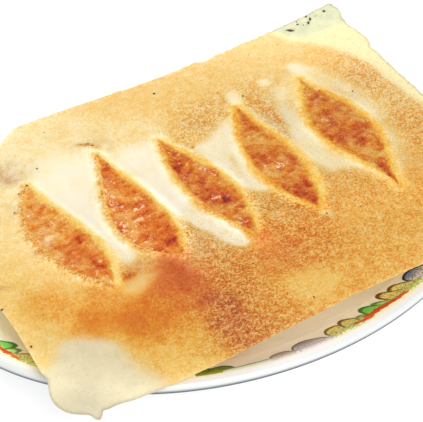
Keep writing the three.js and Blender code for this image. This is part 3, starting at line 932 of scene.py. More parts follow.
# x, y, half length, half width, turn, more or less toast, more rust, more blush (pale, moist skin, with a
# painted highlight)
BASE_SPOTS = [
    (-69, 33, 4, 10, 0, -0.14, 0.0, 0.0), (-72, 10.5, 7, 1.3, 20, -0.3, 0.0, 0.8),
    (-76, 8, 2.4, 1.6, 30, -0.3, 0.0, 0.4), (-72, 17, 5, 1.2, 18, -0.14, 0.1, 0.6),
    (-70, 23, 5, 1.1, 15, -0.1, 0.1, 0.5), (-62.5, 3, 2.4, 3, 0, 0.16, 0.3, 0.0),
    (-63, -15, 2.8, 10, 8, 0.42, 0.5, 0.0), (-72, -8, 4, 7, 20, -0.05, 0.9, 0.2),
    (-35, 33, 4, 7, 0, 0.06, 0.9, 0.6), (-39, 18, 4, 6, 0, 0.08, 0.7, 0.5),
    (-28, 26, 3, 8, 0, 0.02, 0.3, 0.0), (-32, 8, 7, 1.2, 18, -0.16, 0.6, 0.9),
    (-32, 1.5, 8, 1.4, 12, -0.14, 0.6, 0.9), (-33, 4.6, 5, 1.1, 15, 0.2, 0.9, 0.0),
    (-43, 0, 3, 14, 0, -0.02, 0.7, 0.7), (-28.5, -8, 5.5, 5, 0, -0.04, 0.0, 0.0),
    (-28.5, -17, 3.4, 2.4, 10, 0.26, 0.9, 0.0), (-37, -8, 3, 4, 0, 0.1, 0.4, 0.0),
    (-39, 14, 4.6, 24, 4, -0.2, 0.5, 0.72), (-36, -17, 4, 4, 0, 0.08, 0.6, 0.5),
    (1, 33, 3, 6, 0, 0.03, 0.6, 0.3), (-3, 16, 3, 10, 0, 0.06, 0.6, 0.5),
    (7, 18, 2.2, 6, 20, 0.0, 0.9, 0.7), (9, 12, 1.2, 3, 20, -0.1, 0.3, 0.9),
    (1.5, -1.5, 8, 7, -20, 0.2, 0.9, 0.0), (1.5, -1.5, 2.6, 1.5, 10, -0.46, 0.6, 0.9),
    (6, 4, 3, 2, -20, 0.1, 0.2, 0.0), (5, -20, 3.4, 9, 0, 0.15, 0.5, 0.5),
    (10, -12, 1.6, 7, -8, -0.1, 0.0, 0.0), (39, 27, 4.4, 9, 0, -0.12, 0.3, 0.2),
    (45, 5, 3.6, 6, 0, 0.14, 0.9, 0.0), (33, 8, 2.6, 5, 0, 0.1, 0.8, 0.1),
    (40, 13, 3, 4, 0, -0.1, 0.3, 0.1), (38.5, 3, 3, 2.6, 0, -0.16, 0.9, 0.8),
    (39, -6, 4, 2, 10, -0.1, 0.4, 0.6), (36.5, -16, 3.6, 6, 10, 0.19, 0.0, 0.0),
    (43, -12, 2, 3.4, 0, 0.12, 0.4, 0.0), (80, 38, 4.5, 6, 0, 0.12, 1.0, 0.2),
    (76, 22, 4.6, 7, 0, -0.1, 0.8, 0.2), (85, 27, 3, 5, 0, 0.08, 0.9, 0.1),
    (86, 15, 2.6, 12, 0, 0.07, 0.5, 0.0), (82, 5, 7, 4.5, 12, 0.18, 1.0, 0.1),
    (84, 3, 3, 1.2, 20, -0.1, 0.9, 0.9), (76, 9, 3, 2.4, 0, -0.12, 0.6, 0.6),
    (78, -6, 5.4, 4.6, 20, -0.34, 0.0, 0.1), (79, -14, 3, 7, 0, 0.0, 0.1, 0.1),
    (81.5, -15, 1.1, 2, 10, 0.3, 0.8, 0.0), (78.5, -25, 1.8, 10, -4, 0.38, 0.5, 0.0),
]
# number of the base, side, s, reach and mm: where the fried skin stays off the edge of a base
DRAWN_IN = [
    (0, -1, 0.8, 0.22, 0.5), (1, -1, 0.72, 0.2, 0.4), (2, 1, 0.5, 0.3, 1.4), (2, -1, -0.8, 0.2, 0.8),
    (3, -1, 0.72, 0.2, 1.4), (3, 1, -0.55, 0.3, 1.4), (4, -1, 0.65, 0.3, 1.0), (4, 1, -0.7, 0.2, 0.6),
]
# how softly the browning ends on the left and on the right side of each base, in mm
FADES = [(2.0, 3.0), (1.6, 3.8), (1.8, 2.9), (3.0, 4.0), (3.8, 3.2)]
# the toast at the edge of a base where the crust scorched
SCORCHED_TOAST = 0.74


def skin(number, x, y, relief):
    """Toast, rust, and blush with its painted highlight, of the fried skin, away from its edge."""
    px, py = x + 0.8 * lumps(x, y, 4, 71), y + 0.8 * lumps(x, y, 4, 72)
    toast = np.full(x.shape, BASE_TOAST[number])
    rust, blush_and_painted_highlight = 0.25 + 0.25 * lumps(x, y, 5, 77), np.zeros(x.shape)
    for spot_x, spot_y, long, short, turn, more_toast, more_rust, more_blush_and_highlight in BASE_SPOTS:
        spot = soft_spot(px, py, spot_x, spot_y, long, short, turn)
        toast = toast + more_toast * spot
        rust = np.maximum(rust, more_rust * spot)
        blush_and_painted_highlight = np.maximum(blush_and_painted_highlight, more_blush_and_highlight * spot)
    # painted shade and highlight: the browning is deeper in the hollows of the wrinkles and lighter on
    # their tops
    toast = toast + 0.19 * lumps(x, y, 6, 73) + 0.14 * lumps(x, y, 2.6, 74) - 0.34 * relief
    # the tops of the wrinkles get a paler blush: a painted highlight
    return toast, rust, np.maximum(blush_and_painted_highlight, PAINTED_SHINE[number] * smooth(0.12, 0.5, relief))


def within_skin(number, s, x, y, inward, tip):
    """1 where the skin is fully fried, fading to 0 at its uneven edge."""
    inside = tip
    for side, away, fade in zip((-1, 1), inward, FADES[number]):
        fade = np.minimum(fade, 0.3 * sum(inward))
        drawn = sum(mm * np.exp(-((s - at) / reach) ** 2)
                    for base, edge_side, at, reach, mm in DRAWN_IN if (base, edge_side) == (number, side))
        wobble = 0.7 * lumps(x, y, 3, 75) * smooth(0, 1, away)
        inside = inside * smooth(-0.3, 1, (away - drawn + wobble) / fade)
    return inside


def base_marks(number, s, x, y, inward, tip, relief):
    """The marks of a fried base; inward holds the distances from its left and right edge."""
    toast, rust, blush_and_painted_highlight = skin(number, x, y, relief)
    inside = within_skin(number, s, x, y, inward, tip)
    share = inward[0] / (inward[0] + inward[1])
    left_toast, right_toast = EDGE_TOASTS[number]
    edge_toast = left_toast + (right_toast - left_toast) * share
    scorched = smooth(*SCORCHED, strongest(x, y, RUSTY_SPOTS))
    edge_toast = edge_toast + (SCORCHED_TOAST - edge_toast) * scorched
    return edge_toast + (toast - edge_toast) * inside, rust * inside, blush_and_painted_highlight * inside, inside


print(f"{len(BASE_SPOTS)} spots on the five bases")

# %% [markdown]
# A dumpling is one closed ring after another from tip to tip, joined by quads, and an end cap at
# each tip. A ring runs over the base from right to left, down the left side to the seam, and up the
# right side. Points lie closer together near the edges of the base, where the skin curves most.

# %% One ring of a dumpling
BASE_GRID = 44
EVEN = np.linspace(0, 1, BASE_GRID + 1)
ACROSS = 0.7 * EVEN + 0.3 * (1 - np.cos(EVEN * math.pi)) / 2
# how wide the rounded rim of a base is, and how far the skin lies below it, in mm
RIM_WIDTH = 1.8
RIM_SUNK = 0.3


def base_row(number, gyoza, s, right, left):
    """The fried skin across a base at s, given its right and left edge, and the marks on it."""
    (right_x, right_y, right_n), (left_x, left_y, left_n) = right, left
    x = right_x + (left_x - right_x) * ACROSS
    y = right_y + (left_y - right_y) * ACROSS
    inward = (1 - ACROSS) * (right_n + left_n), ACROSS * (right_n + left_n)
    tip = smooth(0, 0.05, 1 - abs(s))
    rim = smooth(0, RIM_WIDTH, np.minimum(*inward)) * tip
    relief = base_relief(number, gyoza, s, x, y, rim)
    z = sheet_height(x, y) + relief - RIM_SUNK * rim
    return (x, y, z), base_marks(number, s, x, y, inward, tip, relief)


def belly_row(gyoza, s, z, right_n, left_n):
    """The body at s: from the left edge of the base to the seam, then from the seam up again."""
    parts = []
    for side, edge_n, edge_z in ((-1, left_n, z[-1]), (1, right_n, z[0])):
        n, deep_z = belly(gyoza, s, side, edge_n, float(edge_z))
        part = (*place_on(gyoza, s, middle_line(gyoza, s) + n), deep_z)
        parts.append(part if side < 0 else tuple(values[::-1] for values in part))
    return parts


def end_cap(start, top_count, around, flip):
    """Closes an end with quads from the left side of the belly to the right side."""
    left = [start + top_count - 1 + k for k in range(BELLY_RINGS + 1)]
    right = [start] + [start + around - 1 - k for k in range(BELLY_RINGS)]
    faces = [tuple(range(start, start + top_count)) + (left[1], right[1])]
    faces += [(right[k], left[k], left[k + 1], right[k + 1]) for k in range(1, BELLY_RINGS)]
    return [face[::-1] if flip else face for face in faces]


print(f"a ring has {BASE_GRID + 1 + 2 * BELLY_RINGS} points")

# %% Build a dumpling
# below the base, the toast right under the rim, and how fast it fades towards the seam
NECK_TOAST = 0.5
NECK_FADE = 14


def build_gyoza(number, gyoza):
    down = np.linspace(0, 1, BELLY_RINGS)
    neck_toast, neck_crust = NECK_TOAST * np.exp(-down * NECK_FADE), 1 - smooth(0.02, 0.12, down)
    steamed = np.zeros(BELLY_RINGS)
    edges = [np.column_stack([*places, n]) for places, n in (base_edge(gyoza, 1), base_edge(gyoza, -1))]
    rows, kept = [], []
    for s, right, left in zip(base_stations(), *edges):
        skin_row, (toast, rust, blush_and_painted_highlight, deep) = base_row(number, gyoza, s, right, left)
        parts = [skin_row, *belly_row(gyoza, s, skin_row[2], right[2], left[2])]
        rows.append(np.column_stack([np.concatenate(values) for values in zip(*parts)]))
        pairs = [(toast, neck_toast), (rust, steamed), (blush_and_painted_highlight, steamed), (deep, steamed),
                 (np.ones(len(toast)), neck_crust)]
        kept.append(np.column_stack([np.concatenate([top, low, low[::-1]]) for top, low in pairs]))
    around = len(rows[0])
    faces = []
    for i in range(len(rows) - 1):
        for j in range(around):
            a, b = i * around + j, i * around + (j + 1) % around
            faces.append((a, a + around, b + around, b))
    for start, flip in ((0, False), ((len(rows) - 1) * around, True)):
        faces += end_cap(start, BASE_GRID + 1, around, flip)
    marks = dict(zip(("toast", "rust", "blush_and_painted_highlight", "deep", "crust"), np.vstack(kept).T))
    marks["dusk"] = np.full(len(rows) * around, DUSK[number])
    return make_piece(f"dumpling_{number + 1}", np.vstack(rows), faces, marks)


dumplings = []
for number, gyoza in enumerate(GYOZA):
    dumpling = build_gyoza(number, gyoza)
    describe(dumpling)
    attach(dumpling, "root")
    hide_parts(f"gyoza_{number + 1}")
    dumplings.append(dumpling)

# %% [markdown]
# ## The plate
#
# The plate was turned on a wheel and then drawn out into an oval: the middle in proportion, and
# everything outside the foot by one equal amount, so that the rim keeps its width. We do the same:
# turn half a profile into a ring, then stretch it along X. Two marks are kept for the painter: how
# far round the rim a point lies, and how far it is from the middle. Both are explained below.

# %% The profile, from under the foot over the lip to the middle of the well
PLATE_HALF_LENGTH = 131
PLATE_HALF_WIDTH = 99
PLATE_STRETCH = PLATE_HALF_LENGTH - PLATE_HALF_WIDTH
FOOT_RADIUS = 60
PLATE_TURNS = 288


def curve(start, pull, end, steps):
    """A bent stretch of the profile; the next stretch starts with its end."""
    return bezier(np.array(start, float), np.array(pull, float), np.array(end, float), steps)


def plate_profile():
    """Distance from the axis and height, for a round plate as wide as this one's short way."""
    lip = [(96.5 + 2.5 * math.cos(math.radians(a)), 24.5 + 2.5 * math.sin(math.radians(a)))
           for a in np.linspace(-80, 100, 15)]
    parts = [
        [(0.0, 4.5), (20, 4.5), (40, 4.5), (52.6, 4.5)],
        curve((53.4, 4.4), (54.4, 3.6), (54.7, 1.0), 4),
        curve((54.8, 0.5), (55.0, 0.0), (55.6, 0.0), 4),
        [(57.5, 0.0), (59.4, 0.0)],
        curve((59.6, 0.0), (60.2, 0.0), (60.3, 0.7), 4),
        curve((60.6, 2.5), (61.2, 4.6), (64.0, 4.9), 6),
        curve((64.0, 4.9), (80.4, 8.6), lip[0], 16),
        lip,
        curve((95.6, 26.95), (93.6, 26.5), (92.5, 26.0), 6),
        curve((92.5, 26.0), (74.0, 10.0), (56.0, 9.0), 44),
        [(56, 9), (48, 9.0), (38, 9.0), (26, 9.0), (13, 9.0), (0.0, 9.0)],
    ]
    return np.vstack([np.array(part, float) for part in parts])


print(f"the profile has {len(plate_profile())} points")

# %% [markdown]
# The painter's motif repeats four times round the rim, not quite evenly, as transfers laid on by
# hand are. `rim_along` counts motifs: it is 1 in the middle of the first and 2 in the middle of the
# next. It is kept for each corner of a face instead of each point, because it has to jump at the -X
# end, where the count starts again. `rim_out` is how far out a point lies, before the stretch.

# %% Millimetres round the rim
# where each motif's middle lies along the rim, in mm from -X anticlockwise
MOTIF_MIDDLES = [23.0, 186.0, 338.3, 490.7]
MOTIF_LENGTH = 160.0
# half the plate's width at the line that is measured along
MEASURED_AT = 82.0


def rim_lengths():
    """The angle and the length along the rim, from -X anticlockwise."""
    angle = np.linspace(-math.pi, math.pi, 3601)
    x, y = (MEASURED_AT + PLATE_STRETCH) * np.cos(angle), MEASURED_AT * np.sin(angle)
    steps = np.hypot(np.diff(x), np.diff(y))
    return angle, np.concatenate([[0], np.cumsum(steps)])


def motif_position(length, whole):
    """Turns a length along the rim into motif counts: 1.0 at the first middle, 2.0 at the next."""
    middles = np.array(MOTIF_MIDDLES)
    places = np.concatenate([[middles[-1] - whole], middles, [middles[0] + whole]])
    return np.interp(length, places, np.arange(len(places)))


print(f"the rim is {rim_lengths()[1][-1]:.0f} mm long where the border runs")

# %% Build the plate
# the mark of the well's middle: any distance that is well inside the border
IN_THE_WELL = 5


def build_plate():
    """A turned profile, stretched into an oval, with its marks on the corners of its faces."""
    profile = plate_profile()
    radius, height = profile.T
    angles = np.linspace(-math.pi, math.pi, PLATE_TURNS, endpoint=False)
    stretch = PLATE_STRETCH * np.minimum(1, radius / FOOT_RADIUS)
    last = len(profile) - 1
    # the underside counts as beyond the lip, so that nothing is painted there
    shown = np.where(np.arange(len(profile)) < radius.argmax(), PLATE_HALF_WIDTH, radius)
    points, index = [(0, 0, height[0])], {}
    for i in range(1, last):
        for k, angle in enumerate(angles):
            index[i, k] = len(points)
            points.append(((radius[i] + stretch[i]) * math.cos(angle), radius[i] * math.sin(angle),
                           height[i]))
    top = len(points)
    points.append((0, 0, height[last]))
    table_angle, table_length = rim_lengths()
    whole = table_length[-1]
    at = [motif_position(np.interp(a, table_angle, table_length), whole)
          for a in np.append(angles, math.pi)]
    faces, along, out = [], [], []
    for k in range(PLATE_TURNS):
        n = (k + 1) % PLATE_TURNS
        faces.append((0, index[1, n], index[1, k]))
        along += [at[k], at[k + 1], at[k]]
        out += [PLATE_HALF_WIDTH] * 3
        for i in range(1, last - 1):
            faces.append((index[i, k], index[i, n], index[i + 1, n], index[i + 1, k]))
            along += [at[k], at[k + 1], at[k + 1], at[k]]
            out += [shown[i], shown[i], shown[i + 1], shown[i + 1]]
        faces.append((top, index[last - 1, k], index[last - 1, n]))
        along += [at[k], at[k], at[k + 1]]
        out += [IN_THE_WELL, radius[last - 1], radius[last - 1]]
    return make_piece("porcelain_plate", points, faces, dict(rim_along=along, rim_out=out), "CORNER")


porcelain_plate = build_plate()
describe(porcelain_plate)
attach(porcelain_plate, "root")
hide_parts("oval_plate")

# %% [markdown]
# ## Small tools for finishes
#
# A finish is a graph of nodes. A few short helpers keep the graphs readable: they add a node and set
# its inputs, do arithmetic, make noise, and blend or tint colours. Colours are written as the hex
# codes that any paint program shows, and turned into the linear values that Blender counts with.

# %% Colours and nodes
def paint(code):
    """A colour from its six-digit code, in linear light."""
    channels = [int(code[i:i + 2], 16) / 255 for i in (0, 2, 4)]
    linear = [c / 12.92 if c <= 0.04045 else ((c + 0.055) / 1.055) ** 2.4 for c in channels]
    return (*linear, 1.0)


def feed(tree, socket, value):
    """Links another node's output to a socket, or sets the socket to a plain number or colour."""
    if isinstance(value, bpy.types.NodeSocket):
        tree.links.new(value, socket)
    else:
        socket.default_value = value


def add(tree, kind, inputs=None, **settings):
    """Adds a node. inputs maps its sockets, by name or place, to values or other nodes' outputs."""
    node = tree.nodes.new(kind)
    for name, value in settings.items():
        setattr(node, name, value)
    for socket, value in (inputs or {}).items():
        feed(tree, node.inputs[socket], value)
    return node


print("a middle grey counts as", round(paint("808080")[0], 3), "in linear light")


# %% Arithmetic, mixing and noise
def count(tree, operation, *values, clamp=False):
    """Arithmetic on numbers or sockets, such as count(tree, "ADD", a, 0.5)."""
    inputs = dict(enumerate(values))
    return add(tree, "ShaderNodeMath", inputs, operation=operation, use_clamp=clamp).outputs[0]


def rise(tree, value, low, high, start=0.0, end=1.0):
    """start up to low, end from high on, and an S-shaped change between them."""
    inputs = {"Value": value, "From Min": low, "From Max": high, "To Min": start, "To Max": end}
    node = add(tree, "ShaderNodeMapRange", inputs, interpolation_type="SMOOTHSTEP")
    return node.outputs["Result"]


def blend(tree, share, below, above, how="MIX"):
    """One colour over another."""
    node = add(tree, "ShaderNodeMix", data_type="RGBA", blend_type=how)
    for socket, value in ((0, share), (6, below), (7, above)):
        feed(tree, node.inputs[socket], value)
    return node.outputs[2]


def tint(tree, share, colour, code):
    """A colour multiplied by another one, as far as share says."""
    return blend(tree, share, colour, blend(tree, 1.0, colour, paint(code), how="MULTIPLY"))


def noise(tree, where, scale, detail, roughness=0.5):
    """Cloudy noise from 0 to 1, with about `scale` clouds in a metre."""
    inputs = {"Vector": where, "Scale": scale, "Detail": detail, "Roughness": roughness}
    return add(tree, "ShaderNodeTexNoise", inputs).outputs["Fac"]


def mark(tree, name):
    """A mark of the mesh as a number."""
    return add(tree, "ShaderNodeAttribute", attribute_name=name).outputs["Fac"]


def ramp(tree, value, stops):
    """A run of colours along a number from 0 to 1."""
    node = add(tree, "ShaderNodeValToRGB", {"Fac": value})
    elements = node.color_ramp.elements
    while len(elements) < len(stops):
        elements.new(0.5)
    for element, (position, code) in zip(elements, stops):
        element.position, element.color = position, paint(code)
    return node.outputs["Color"]


print("ready: count, rise, blend, tint, noise, mark and ramp")

# %% [markdown]
# A part of a graph that is needed more than once becomes a group: a box with its own sockets, which
# is put into as many materials as we like. A correction inside it then reaches all of them.

# %% Node groups
def new_group(name, inputs, outputs):
    """A node group with named sockets: F for a number, C for a colour, V for a vector."""
    kinds = {"F": "NodeSocketFloat", "C": "NodeSocketColor", "V": "NodeSocketVector"}
    group = bpy.data.node_groups.new(name, "ShaderNodeTree")
    for direction, sockets in (("INPUT", inputs), ("OUTPUT", outputs)):
        for socket, (kind, value) in sockets.items():
            made = group.interface.new_socket(socket, in_out=direction, socket_type=kinds[kind])
            if direction == "INPUT":
                made.default_value = value
    return group, group.nodes.new("NodeGroupInput").outputs, group.nodes.new("NodeGroupOutput").inputs


def place(tree, group, inputs):
    """Puts a group into a material or another group and returns its outputs."""
    node = tree.nodes.new("ShaderNodeGroup")
    node.node_tree = group
    for socket, value in inputs.items():
        feed(tree, node.inputs[socket], value)
    return node.outputs


print("ready: new_group and place")

# %% [markdown]
# ## Browning, shared by skirt and dumplings
#
# Starch and dough brown through the same colours: cream, straw, gold, orange, then a red-brown. So
# the run of colours is one group, used by both finishes with their own amounts. `Toast` walks along
# the run, and `Rust` pulls the result towards the redder brown of dough that was pressed hard on
# the iron. `Grain` breaks up the toast at the scale of the bubbles in the batter.

# %% The browning group
def build_browning():
    group, given, result = new_group(
        "browning",
        {"Toast": ("F", 0.5), "Rust": ("F", 0.0), "Grain": ("F", 0.0)},
        {"Color": ("C", None)},
    )
    toast = count(group, "ADD", given["Toast"], given["Grain"])
    toast = count(group, "DIVIDE", toast, 1.25, clamp=True)
    plain = ramp(group, toast, [
        (0.00, "fffaea"), (0.08, "fcf4d2"), (0.16, "fae6aa"), (0.24, "f9da8e"), (0.34, "f6ce74"),
        (0.42, "f4c25a"), (0.50, "f0b041"), (0.58, "eb9c28"), (0.65, "e58a18"), (0.72, "df780c"),
        (0.80, "d66106"), (0.90, "c24604"), (1.00, "962802"),
    ])
    rusty = ramp(group, toast, [
        (0.00, "f6dfc0"), (0.32, "efb888"), (0.56, "e59656"), (0.68, "dc7c3a"), (0.80, "d06222"),
        (0.90, "bc420a"), (1.00, "8e2604"),
    ])
    group.links.new(blend(group, given["Rust"], plain, rusty), result["Color"])
    return group


browning = build_browning()
print("groups so far:", [group.name for group in bpy.data.node_groups])

# %% [markdown]
# ## Grain, shared as well
#
# Up close the crust is a crowd of tiny burst bubbles. Three sizes of noise and a layer of rounded
# cells give that. `Crisp` goes from a cloudy grain to specks with hard borders. The group puts out a
# `Value` around 0 that shifts the toast and a `Height` for the bump, so that what looks darker is
# also lower, as in a real crust.

# %% The crust grain group
def build_grain():
    group, given, result = new_group(
        "crust grain",
        {"Vector": ("V", (0, 0, 0)), "Size": ("F", 1.5), "Crisp": ("F", 0.5)},
        {"Value": ("F", None), "Height": ("F", None)},
    )
    per_metre = count(group, "DIVIDE", 1000.0, given["Size"])

    def clouds(share, roughness):
        scale = count(group, "MULTIPLY", per_metre, share)
        return noise(group, given["Vector"], scale, 2.0, roughness)

    specks, crumbs, patches = clouds(1.5, 0.6), clouds(0.8, 0.6), clouds(0.33, 0.5)
    soft = count(group, "SUBTRACT", count(group, "ADD", specks, crumbs), 1.0)
    soft = count(group, "MULTIPLY", soft, 2.3)
    crisp = count(group, "SUBTRACT", rise(group, crumbs, 0.4, 0.6), 0.5)
    crisp_specks = count(group, "SUBTRACT", rise(group, specks, 0.38, 0.62), 0.5)
    crisp = count(group, "MULTIPLY_ADD", crisp_specks, 0.7, crisp)
    mixed = add(group, "ShaderNodeMix", {0: given["Crisp"], 2: soft, 3: crisp}, data_type="FLOAT")
    drift = count(group, "MULTIPLY", count(group, "SUBTRACT", patches, 0.5), 1.5)
    value = count(group, "ADD", mixed.outputs[0], drift)
    group.links.new(value, result["Value"])
    cells = add(group, "ShaderNodeTexVoronoi", {"Vector": given["Vector"], "Scale": per_metre},
                feature="SMOOTH_F1")
    height = count(group, "MULTIPLY_ADD", value, -0.5, cells.outputs["Distance"])
    group.links.new(height, result["Height"])
    return group


crust_grain = build_grain()
print("groups so far:", [group.name for group in bpy.data.node_groups])

# %% [markdown]
# Scratches come from the pan: where iron was scraped, the crust takes a print of fine pale lines. A
# noise that is stretched a lot in one direction gives lines; two of them cross.

# %% The pan scratches group
# clouds in a metre along a line and across it
LINE_STRETCH = (90.0, 1500.0)


def build_scratches():
    group, given, result = new_group(
        "pan scratches",
        {"Vector": ("V", (0, 0, 0)), "Turn": ("F", 0.0), "Share": ("F", 0.4)},
        {"Mask": ("F", None)},
    )
    lines = []
    for turn, bunch in ((0.0, 1.0), (1.25, 1.7)):
        angle = count(group, "ADD", given["Turn"], turn)
        turned = add(group, "ShaderNodeVectorRotate",
                     {"Vector": given["Vector"], "Angle": angle}, rotation_type="Z_AXIS")
        drawn = add(group, "ShaderNodeMapping",
                    {"Vector": turned.outputs["Vector"],
                     "Scale": (LINE_STRETCH[0] * bunch, LINE_STRETCH[1], 0.0)})
        streaks = noise(group, drawn.outputs["Vector"], 1.0, 1.0)
        limit = count(group, "MULTIPLY_ADD", given["Share"], -0.22, 0.72)
        lines.append(rise(group, streaks, limit, count(group, "ADD", limit, 0.06)))
    group.links.new(count(group, "MAXIMUM", *lines), result["Mask"])
    return group


pan_scratches = build_scratches()
print("groups so far:", [group.name for group in bpy.data.node_groups])

# %% [markdown]
# ## The finish of the skirt
#
# Fried starch is matt but not dry: it has a faint oily sheen, and a good part of the light passes
# through it, so that what the plate throws back brightens it from below. The marks choose between
# the browned colours, the milky ones and the pale straw of the thin corners. Noise is added to each
# mark before it becomes a share, which frays the borders finely without any image. Grainy crust
# frays a milky border into crumbs, and calm crust lets it melt away.

# %% A material, and what all of them end with
def new_material(name):
    """A material with its node tree, its shader and the place on the object in metres."""
    material = bpy.data.materials.new(name)
    material.use_nodes = True
    tree = material.node_tree
    here = add(tree, "ShaderNodeTexCoord").outputs["Object"]
    return material, tree, tree.nodes["Principled BSDF"], here


def dress(tree, shader, colour, relief, strength, distance, rough):
    """Gives a shader its colour, a bump `distance` metres deep and its roughness."""
    tree.links.new(colour, shader.inputs["Base Color"])
    bump = add(tree, "ShaderNodeBump", {"Height": relief, "Strength": strength, "Distance": distance})
    tree.links.new(bump.outputs["Normal"], shader.inputs["Normal"])
    tree.links.new(rough, shader.inputs["Roughness"])
    return bump.outputs["Normal"]


print("ready: new_material and dress")

# %% Milky, thin or calm
def starch_zones(tree, grain, grit, fray):
    """The shares of milk and of thin batter, the calm that both bring, and the fraying itself."""
    torn = count(tree, "MULTIPLY_ADD", grit, 0.12, 0.06)
    loose = count(tree, "MULTIPLY_ADD", fray, 0.55, count(tree, "MULTIPLY", grain["Value"], torn))
    width = count(tree, "MULTIPLY_ADD", grit, -0.08, 0.48)
    milk = rise(tree, count(tree, "ADD", mark(tree, "milky"), loose),
                count(tree, "SUBTRACT", 0.5, width), count(tree, "ADD", 0.5, width))
    thin = rise(tree, count(tree, "MULTIPLY_ADD", fray, 0.45, mark(tree, "thin")), 0.0, 0.8)
    return milk, thin, count(tree, "MAXIMUM", milk, thin), loose


print("ready: starch_zones")


# %% The browned batter
def fried_starch(tree, grain, grit, fray, milk, calm, scratched):
    """The colour of batter that lay on the pan, with its grain and scratches."""
    toast = count(tree, "MULTIPLY", mark(tree, "toast"),
                  count(tree, "SUBTRACT", 1.0, count(tree, "MULTIPLY", milk, 0.9)))
    strength = count(tree, "MULTIPLY_ADD", grit, 0.32, 0.12)
    strength = count(tree, "MULTIPLY", strength, rise(tree, calm, 0.0, 1.0, 1.0, 0.35))
    speckle = count(tree, "MULTIPLY_ADD", grain["Value"], strength, count(tree, "MULTIPLY", fray, 0.25))
    speckle = count(tree, "MULTIPLY_ADD", scratched, -0.26, speckle)
    # painted highlight: the batter is a little paler right at the edge, where its cut side catches the
    # light
    speckle = count(tree, "MULTIPLY_ADD", mark(tree, "rim"), -0.08, speckle)
    fried = place(tree, browning, {"Toast": toast, "Rust": mark(tree, "rust"), "Grain": speckle})
    # towards the front and the left end the gold is less red
    return tint(tree, mark(tree, "front"), fried["Color"], "f7feff")


print("ready: fried_starch")


# %% The thin batter
def thin_starch(tree, grain, wide):
    """The straw colours of the thin corners, yellower at the back and glassy at its very tip."""
    cloud = rise(tree, wide, 0.3, 0.7)

    def cloudy(one, other):
        return blend(tree, cloud, paint(one), paint(other))

    straw = blend(tree, mark(tree, "back"), cloudy("eee8ce", "e4dcbc"), cloudy("fbf3c4", "f7efc0"))
    straw = blend(tree, rise(tree, mark(tree, "thin"), 1.05, 1.35), straw, cloudy("eaedcc", "d8dcbc"))
    specks = count(tree, "MULTIPLY", rise(tree, grain["Value"], 0.1, 0.8), 0.5)
    return blend(tree, specks, straw, paint("c8c296"))


print("ready: thin_starch")


# %% Shades, crumbs and bruises
def weathered(tree, colour, grain, grit, calm, thin, loose):
    """What lies over the colour of the batter, painted shade among it."""
    # painted shade: the thin corners are painted darker grey right at their edge
    thin_edge_shade = count(tree, "MULTIPLY", mark(tree, "rim"), count(tree, "MULTIPLY", thin, 0.6))
    colour = tint(tree, thin_edge_shade, colour, "b0a8a4")
    # the fat beside a base makes the gold a little duller
    colour = tint(tree, mark(tree, "gold"), colour, "f4fbff")
    # the part that hangs over the plate's rim is in its own shade
    colour = tint(tree, count(tree, "MULTIPLY", mark(tree, "hanging"), 0.6), colour, "d4d4d2")
    # in the rough zones the burst bubbles leave brown crumbs, and pale dry flakes between them
    crumbs = count(tree, "MULTIPLY", rise(tree, grain["Value"], 0.0, 0.7), grit)
    crumbs = count(tree, "MULTIPLY", crumbs, rise(tree, calm, 0.0, 0.8, 0.3, 0.05), clamp=True)
    colour = tint(tree, crumbs, colour, "d8a888")
    flakes = count(tree, "MULTIPLY", rise(tree, grain["Value"], -0.9, -0.25, 1.0, 0.0), grit)
    flakes = count(tree, "MULTIPLY", flakes, rise(tree, calm, 0.0, 0.8, 0.4, 0.1), clamp=True)
    colour = blend(tree, flakes, colour, paint("fbdcb0"))
    # bruises darken the batter; the largest is a painted shade where the sheet bends down
    bruised_and_bend_shaded = count(tree, "MULTIPLY", mark(tree, "bruise_and_bend_shade"), rise(tree, loose, -0.25, 0.35))
    return tint(tree, bruised_and_bend_shaded, colour, "b47e60")


print("ready: weathered")

# %% [markdown]
# The material puts those four together. Its relief is the grain and the scratches, flatter where the
# batter is calm. At the end the shader is mixed with a Translucent one, which shows the light from
# behind in a paler colour, and less of it near a base, where real batter is thicker.

# %% The crisp starch material
GRAIN_SIZE = 0.95
WIDE_CLOUDS = 150.0


